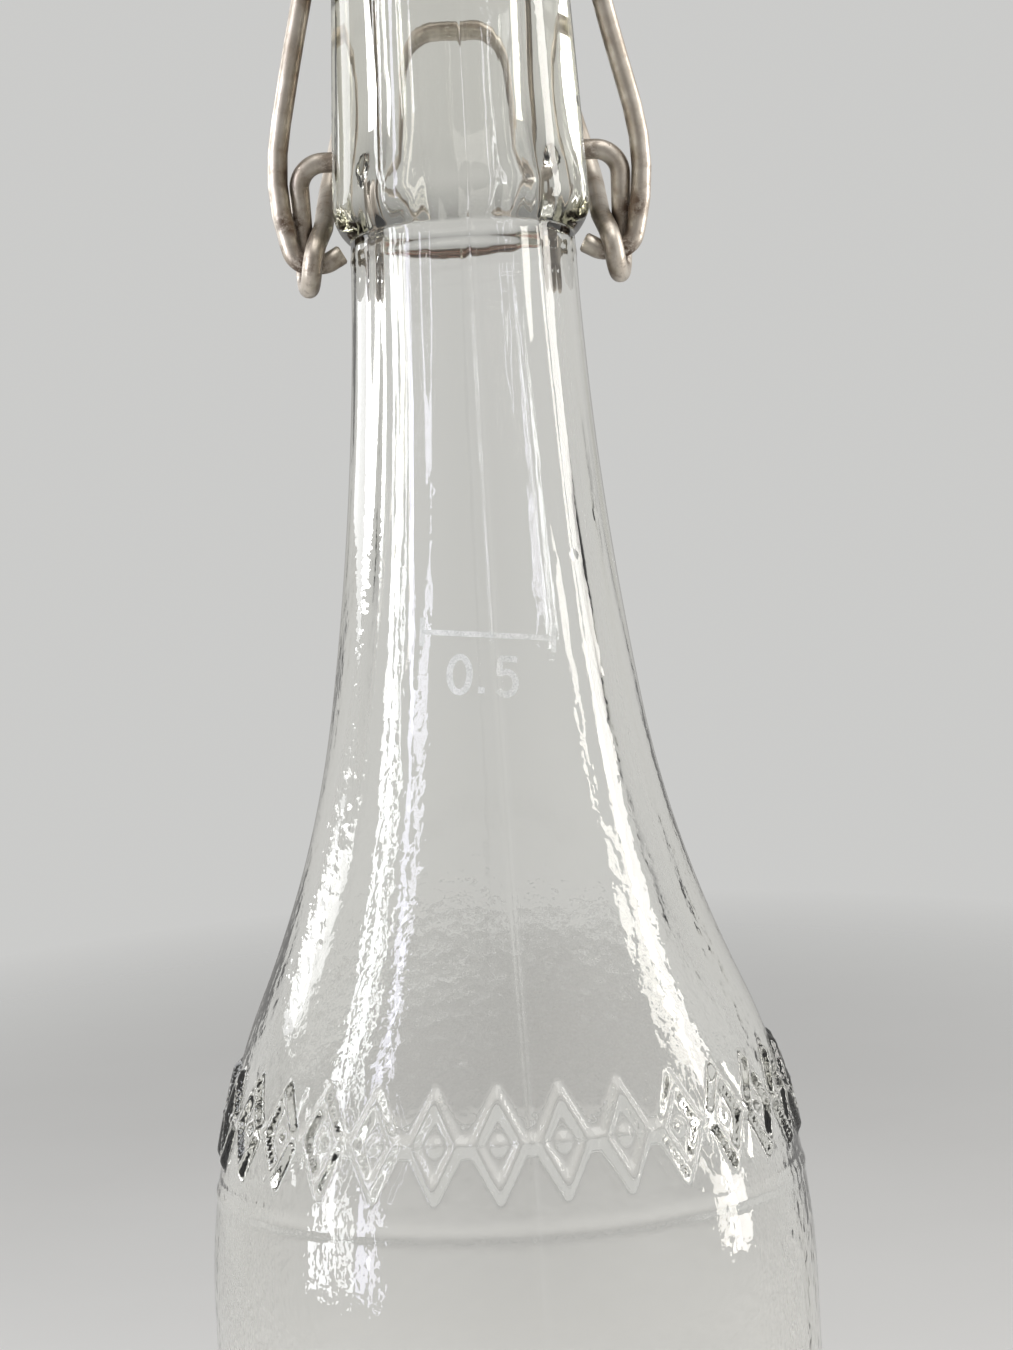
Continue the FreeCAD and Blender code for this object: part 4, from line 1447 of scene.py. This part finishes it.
@dataclass
class StopperHead:
    """Porcelain head with its rubber ring, in millimetres."""

    rim: float = 267.0
    gasket_thickness: float = 3.5
    gasket_radius: float = 12.2
    gasket_hole: float = 5.5
    gasket_cone_depth: float = 1.2
    gasket_cone_radius: float = 7.4
    gasket_cone_top: float = 8.625
    gasket_edge: float = 0.95
    gasket_flash: Point = (0.06, 0.08)
    gasket_bulge: Point = (0.9, 3.2)
    gasket_wear: float = 0.05
    boss_radius: float = 5.4
    button_radius: float = 6.5
    button_height: float = 2.2
    button_dish: Point = (0.35, 9.0)
    button_edge: Point = (0.7, 0.4)
    head_radius: float = 13.0
    head_edge_height: float = 2.6
    head_edge_radius: float = 1.2
    head_neck_radius: float = 11.4
    head_top_radius: float = 10.2
    head_height: float = 17.0
    head_dome_radius: float = 3.5
    crown: tuple[Point, Point, Point] = ((4.6, 0.0), (3.6, 0.28), (0.0, 0.4))
    cast_shrink: float = -0.12
    cast_sway: float = 0.05
    cast_seam: Point = (0.06, 0.3)
    cast_seam_radius: float = 11.0
    bar_height: float = 278.0
    bar_hole: float = 1.4
    hole_flare: tuple[Point, Point, Point] = ((16.0, 3.4), (10.9, 1.95), (10.3, 1.6))
    hole_straight: float = 9.5
    columns: int = 128

    def _head_section(self) -> ndarray:
        """Lay out the head's half section.

        Returns:
            Its points, from under the button to the crown.
        """
        seat = self.rim + self.gasket_thickness
        under = self.rim - self.gasket_cone_depth
        low, brim = under - self.button_height, seat + self.head_edge_height
        brow = seat + self.head_height - self.head_dome_radius
        edge, dome = self.head_edge_radius, self.head_dome_radius
        dish, hollow = self.button_dish
        below, over = self.button_edge
        wedge = math.atan2(self.head_neck_radius - self.head_top_radius, brow - brim)
        cap = polar((self.head_top_radius, brow), dome, math.pi + wedge)
        out = Section([(0.0, low + dish)])
        out.arc((0.0, low + dish + hollow), hollow, -QUARTER, -QUARTER + 0.25, 0.8)
        out.line((self.button_radius - below, low), 0.8)
        out.arc((self.button_radius - below, low + below), below, -QUARTER, 0.0, 0.2)
        out.line((self.button_radius, under - over), 0.4)
        out.arc((self.button_radius - over, under - over), over, 0.0, QUARTER, 0.15)
        out.line((self.boss_radius, under), 0.4)
        out.line((self.boss_radius, seat), 0.8)
        out.line((self.head_radius - edge, seat), 0.9)
        out.arc((self.head_radius - edge, seat + edge), edge, -QUARTER, 0.0, 0.22)
        out.line((self.head_radius, brim - edge), 0.2)
        out.arc((self.head_radius - edge, brim - edge), edge, 0.0, QUARTER - 0.35, 0.22)
        out.line((self.head_neck_radius - 0.05, brim + 0.55), 0.25)
        out.line((self.head_top_radius, brow), 0.7)
        out.arc(cap, dome, wedge, QUARTER, 0.4)
        for (radius, sink), step in zip(self.crown, (0.8, 0.3, 0.7)):
            out.line((radius, cap[1] + dome - sink), step)
        return out.array()

    def _bored(self, head: Object) -> None:
        """Bore the cross hole for the bar through the head, eased where the bar comes out.

        Args:
            head: the head, which gets the bored mesh.
        """
        turn = columns(40)
        half = [*self.hole_flare, (self.hole_straight, self.bar_hole)]
        runs = [(-x, radius) for x, radius in half] + half[::-1]
        wheel = np.stack([np.zeros_like(turn), np.cos(turn), np.sin(turn)], axis=1)
        rings = [np.array([x, 0.0, self.bar_height]) + radius * wheel for x, radius in runs]
        ends = [np.array([[runs[k][0], 0.0, self.bar_height]]) for k in (0, -1)]
        drill = shaped("drill", [ends[0], *rings, ends[1]])
        cut = head.modifiers.new("bar_hole", "BOOLEAN")
        cut.object, cut.operation, cut.solver = drill, "DIFFERENCE", "EXACT"
        made = head.evaluated_get(bpy.context.evaluated_depsgraph_get())
        bored = bpy.data.meshes.new_from_object(made)
        head.modifiers.clear()
        head.data = bored
        bored.name = head.name
        bored.shade_smooth()
        bored.set_sharp_from_angle(angle=math.radians(38.0))
        bpy.data.objects.remove(drill)

    def head(self) -> Object:
        """The porcelain head, a little uneven as cast.

        Returns:
            The head, bored.
        """
        section, theta = self._head_section(), columns(self.columns)
        seat, height = self.rim + self.gasket_thickness, section[:, 1:]
        push = self.cast_shrink + self.cast_sway * waves(theta[None, :], height, (1, 4), 30.0, 17)
        off = np.abs(np.mod(theta, math.pi) - QUARTER) * self.cast_seam_radius
        mould = hump(off, self.cast_seam[1]) * self.cast_seam[0]
        free = smooth(seat + 0.6, seat + 3.0, height)
        rings = turned(section, theta, (push + mould[None, :]) * free)
        head = shaped("porcelain_head", [rings[0, :1], *rings[1:-1], rings[-1, :1]])
        self._bored(head)
        return head

    def gasket(self) -> Object:
        """The rubber ring, bulged a little by the squeeze, with a mould line round its side.

        Returns:
            The ring.
        """
        seat, low = self.rim + self.gasket_thickness, self.rim - self.gasket_cone_depth
        rounded = self.gasket_radius - self.gasket_edge
        (flash, width), (hollow, power) = self.gasket_flash, self.gasket_bulge
        out = Section([(self.gasket_hole, seat)])
        out.line((self.gasket_hole, low), 0.5)
        out.line((self.gasket_cone_radius, low), 0.4)
        out.line((self.gasket_cone_top, self.rim), 0.3)
        out.line((rounded, self.rim), 0.5)
        for share in np.linspace(-1.0, 1.0, 15)[1:-1]:
            bulge = self.gasket_radius - flash - hollow * abs(share) ** power
            height = (self.rim + seat) / 2 + share * self.gasket_thickness / 2
            out.points.append((bulge + flash * hump(share, width), height))
        out.line((rounded, seat), 0.3)
        out.line((self.gasket_hole + 0.4, seat), 0.5)
        section, theta = out.array(), columns(self.columns)
        loose = smooth(self.gasket_radius - 0.6, self.gasket_radius, section[:, :1])
        uneven = waves(theta[None, :], section[:, 1:], (2, 13), 40.0, 29)
        push = -self.gasket_wear * (1.0 + uneven) * loose
        return shaped("rubber_ring", list(turned(section, theta, push)), loop=True)

    def build(self, porcelain: PorcelainFinish, rubber: RubberFinish, effects: Effects) -> None:
        """Build head and ring, dress them and hang them on the stopper's body.

        Args:
            porcelain: finish of the head.
            rubber: finish of the ring.
            effects: the shared node groups.
        """
        fitted(self.head(), porcelain.material(effects), Body.STOPPER, Slot.PORCELAIN, "stopper")
        fitted(self.gasket(), rubber.material(effects), Body.STOPPER, Slot.RUBBER, "gasket")


# ---------------------------------------------------------------- the studio


@dataclass(frozen=True)
class Lamp:
    """A soft rectangular lamp that looks at a point of the axis; lengths in metres."""

    name: str
    turn: float
    distance: float
    height: float
    width: float
    tall: float
    power: float
    colour: tuple[float, float, float]
    aim: float

    def place(self) -> None:
        """Put the lamp into the scene, its turn counted in degrees from the camera towards +X."""
        light = bpy.data.lights.new(self.name, "AREA")
        light.shape, light.size, light.size_y = "RECTANGLE", self.width, self.tall
        light.energy, light.color = self.power, self.colour
        lamp = bpy.data.objects.new(self.name, light)
        angle = math.radians(self.turn)
        across, front = math.sin(angle) * self.distance, -math.cos(angle) * self.distance
        lamp.location = (across, front, self.height)
        look = Vector((0.0, 0.0, self.aim)) - lamp.location
        lamp.rotation_mode = "QUATERNION"
        lamp.rotation_quaternion = look.to_track_quat("-Z", "Y")
        bpy.context.scene.collection.objects.link(lamp)


@dataclass
class Studio:
    """Pale floor and backdrop, soft lamps, and a camera where the photograph was taken."""

    pale: Colour = (0.60, 0.60, 0.59, 1.0)
    ceiling: Colour = (0.26, 0.26, 0.255, 1.0)
    ceiling_rise: Point = (0.3, 0.75)
    deep: Colour = (0.28, 0.275, 0.265, 1.0)
    sides: Colour = (0.86, 0.85, 0.83, 1.0)
    sides_turn: Point = (0.15, 0.8)
    room: float = 0.45
    floor_size: float = 2.0
    floor_reach: Point = (600.0, 1300.0)
    floor_shift: float = 400.0
    floor_fade: Point = (0.3, 1.0)
    floor_tones: tuple[Colour, Colour] = ((0.73, 0.725, 0.71, 1.0), (0.77, 0.765, 0.75, 1.0))
    image: tuple[int, int] = (1013, 1350)
    pixels_per_mm: float = 8.37
    sensor: float = 36.0
    camera_distance: float = 285.0
    axis_pixel: float = 485.4
    camera_height: float = 182.1
    roll: float = math.radians(-2.97)
    clip: float = 0.005

    def lamps(self) -> list[Lamp]:
        """Tall strips and a soft pane on the left, a broad pane on the right, a soft one above.

        Returns:
            The lamps, not yet placed.
        """
        return [
            Lamp("left_pane_outer", -78.0, 0.75, 0.34, 0.040, 0.62, 0.85, (0.95, 0.97, 1.0), 0.34),
            Lamp("left_pane_inner", -72.5, 0.75, 0.34, 0.040, 0.62, 0.85, (0.93, 0.96, 1.0), 0.34),
            Lamp("left_soft", -126.0, 0.70, 0.43, 0.32, 0.26, 0.75, (0.97, 0.98, 1.0), 0.43),
            Lamp("left_strip", -58.0, 0.75, 0.33, 0.050, 0.62, 0.85, (0.84, 0.84, 1.0), 0.33),
            Lamp("right_window", 92.0, 0.80, 0.38, 0.15, 0.70, 2.6, (1.0, 0.97, 0.92), 0.38),
            Lamp("overhead", 20.0, 0.35, 0.95, 0.7, 0.7, 3.2, (1.0, 0.99, 0.97), 0.1),
        ]

    def backdrop(self) -> None:
        """Plain room: pale where seen, or seen through glass, deep where mirrored, white as light."""
        world = bpy.data.worlds.new("studio")
        world.use_nodes = True
        graph = Graph(world.node_tree)
        graph.tree.nodes.clear()
        path = graph.add("LightPath").outputs
        seen = graph.sum("MAXIMUM", path["Is Camera Ray"], path["Is Transmission Ray"])
        across, _, rise = graph.parts(graph.add("TexCoord").outputs["Generated"])
        aside = graph.sum("ABSOLUTE", across).spread(*self.sides_turn)
        wall = graph.mixed(rise.spread(*self.ceiling_rise), self.pale, self.ceiling)
        mirror = graph.mixed(aside, self.deep, self.sides)
        tone, deep = (
            graph.add("Background", {"Color": colour, "Strength": 1.0}) for colour in (wall, mirror)
        )
        light = graph.add("Background", {"Color": (1.0, 1.0, 1.0, 1.0), "Strength": self.room})
        mirrored = graph.add("MixShader", {0: path["Is Glossy Ray"], 1: light, 2: deep})
        surface = graph.add("MixShader", {0: seen, 1: mirrored, 2: tone})
        graph.add("OutputWorld", {"Surface": surface}).is_active_output = True
        bpy.context.scene.world = world

    def floor(self) -> None:
        """Round pale floor that fades into the backdrop before it reaches its edge or the lamps."""
        turn = columns(64)
        rings = [np.stack([r * np.cos(turn), r * np.sin(turn), np.zeros_like(turn)], axis=1) / MM
                 for r in np.linspace(0.1, self.floor_size, 12)]
        disc = shaped("floor", [*rings[::-1], np.array([[0.0, 0.0, 0.0]])])
        paint = Paint("pale_floor")
        place = paint.millimetres()
        across, behind = self.floor_reach
        moved = paint.vector("SUBTRACT", place, (0.0, self.floor_shift, 0.0))
        shrunk = paint.vector("MULTIPLY", moved, (1.0 / across, 1.0 / behind, 0.0))
        fade = paint.away(shrunk, (0.0, 0.0, 0.0)).spread(*self.floor_fade)
        tone = paint.mixed(paint.noise(place, 0.01, 3.0), *self.floor_tones)
        paint.feed(paint.shader, {"Base Color": tone, "Roughness": 0.7})
        through = paint.add("BsdfTransparent")
        surface = paint.add("MixShader", {0: fade, 1: paint.shader, 2: through})
        paint.feed(paint.out, {"Surface": surface})
        disc.data.materials.append(paint.material)

    def camera(self) -> None:
        """Level camera at the photograph's place, distance, framing and slight roll."""
        data = bpy.data.cameras.new("camera")
        data.sensor_width = self.sensor
        data.lens = self.sensor * self.pixels_per_mm * self.camera_distance / self.image[1]
        data.clip_start = self.clip
        camera = bpy.data.objects.new("camera", data)
        aside = (self.image[0] / 2 - self.axis_pixel) / self.pixels_per_mm
        look = Matrix.Rotation(QUARTER, 4, "X") @ Matrix.Rotation(self.roll, 4, "Z")
        stand = Vector((aside, -self.camera_distance, self.camera_height)) * MM
        camera.matrix_world = Matrix.Translation(stand) @ look
        bpy.context.scene.collection.objects.link(camera)
        bpy.context.scene.camera = camera

    def build(self) -> None:
        """Set up the whole studio."""
        self.floor()
        self.backdrop()
        for lamp in self.lamps():
            lamp.place()
        self.camera()
        bpy.context.scene.view_settings.view_transform = "Standard"


def main() -> None:
    """Build every piece in order, then the studio; each fitted piece logs its face count."""
    logging.basicConfig(level=logging.INFO, format="%(name)s: %(message)s")
    effects = Effects()
    bottle = GlassBottle()
    bottle.build(GlassFinish(), EtchFinish(), effects)
    WireClosure(bottle).build(WireFinish(), effects)
    StopperHead().build(PorcelainFinish(), RubberFinish(), effects)
    Studio().build()
    LOG.info("sizes noted")


if __name__ == "__main__":
    main()
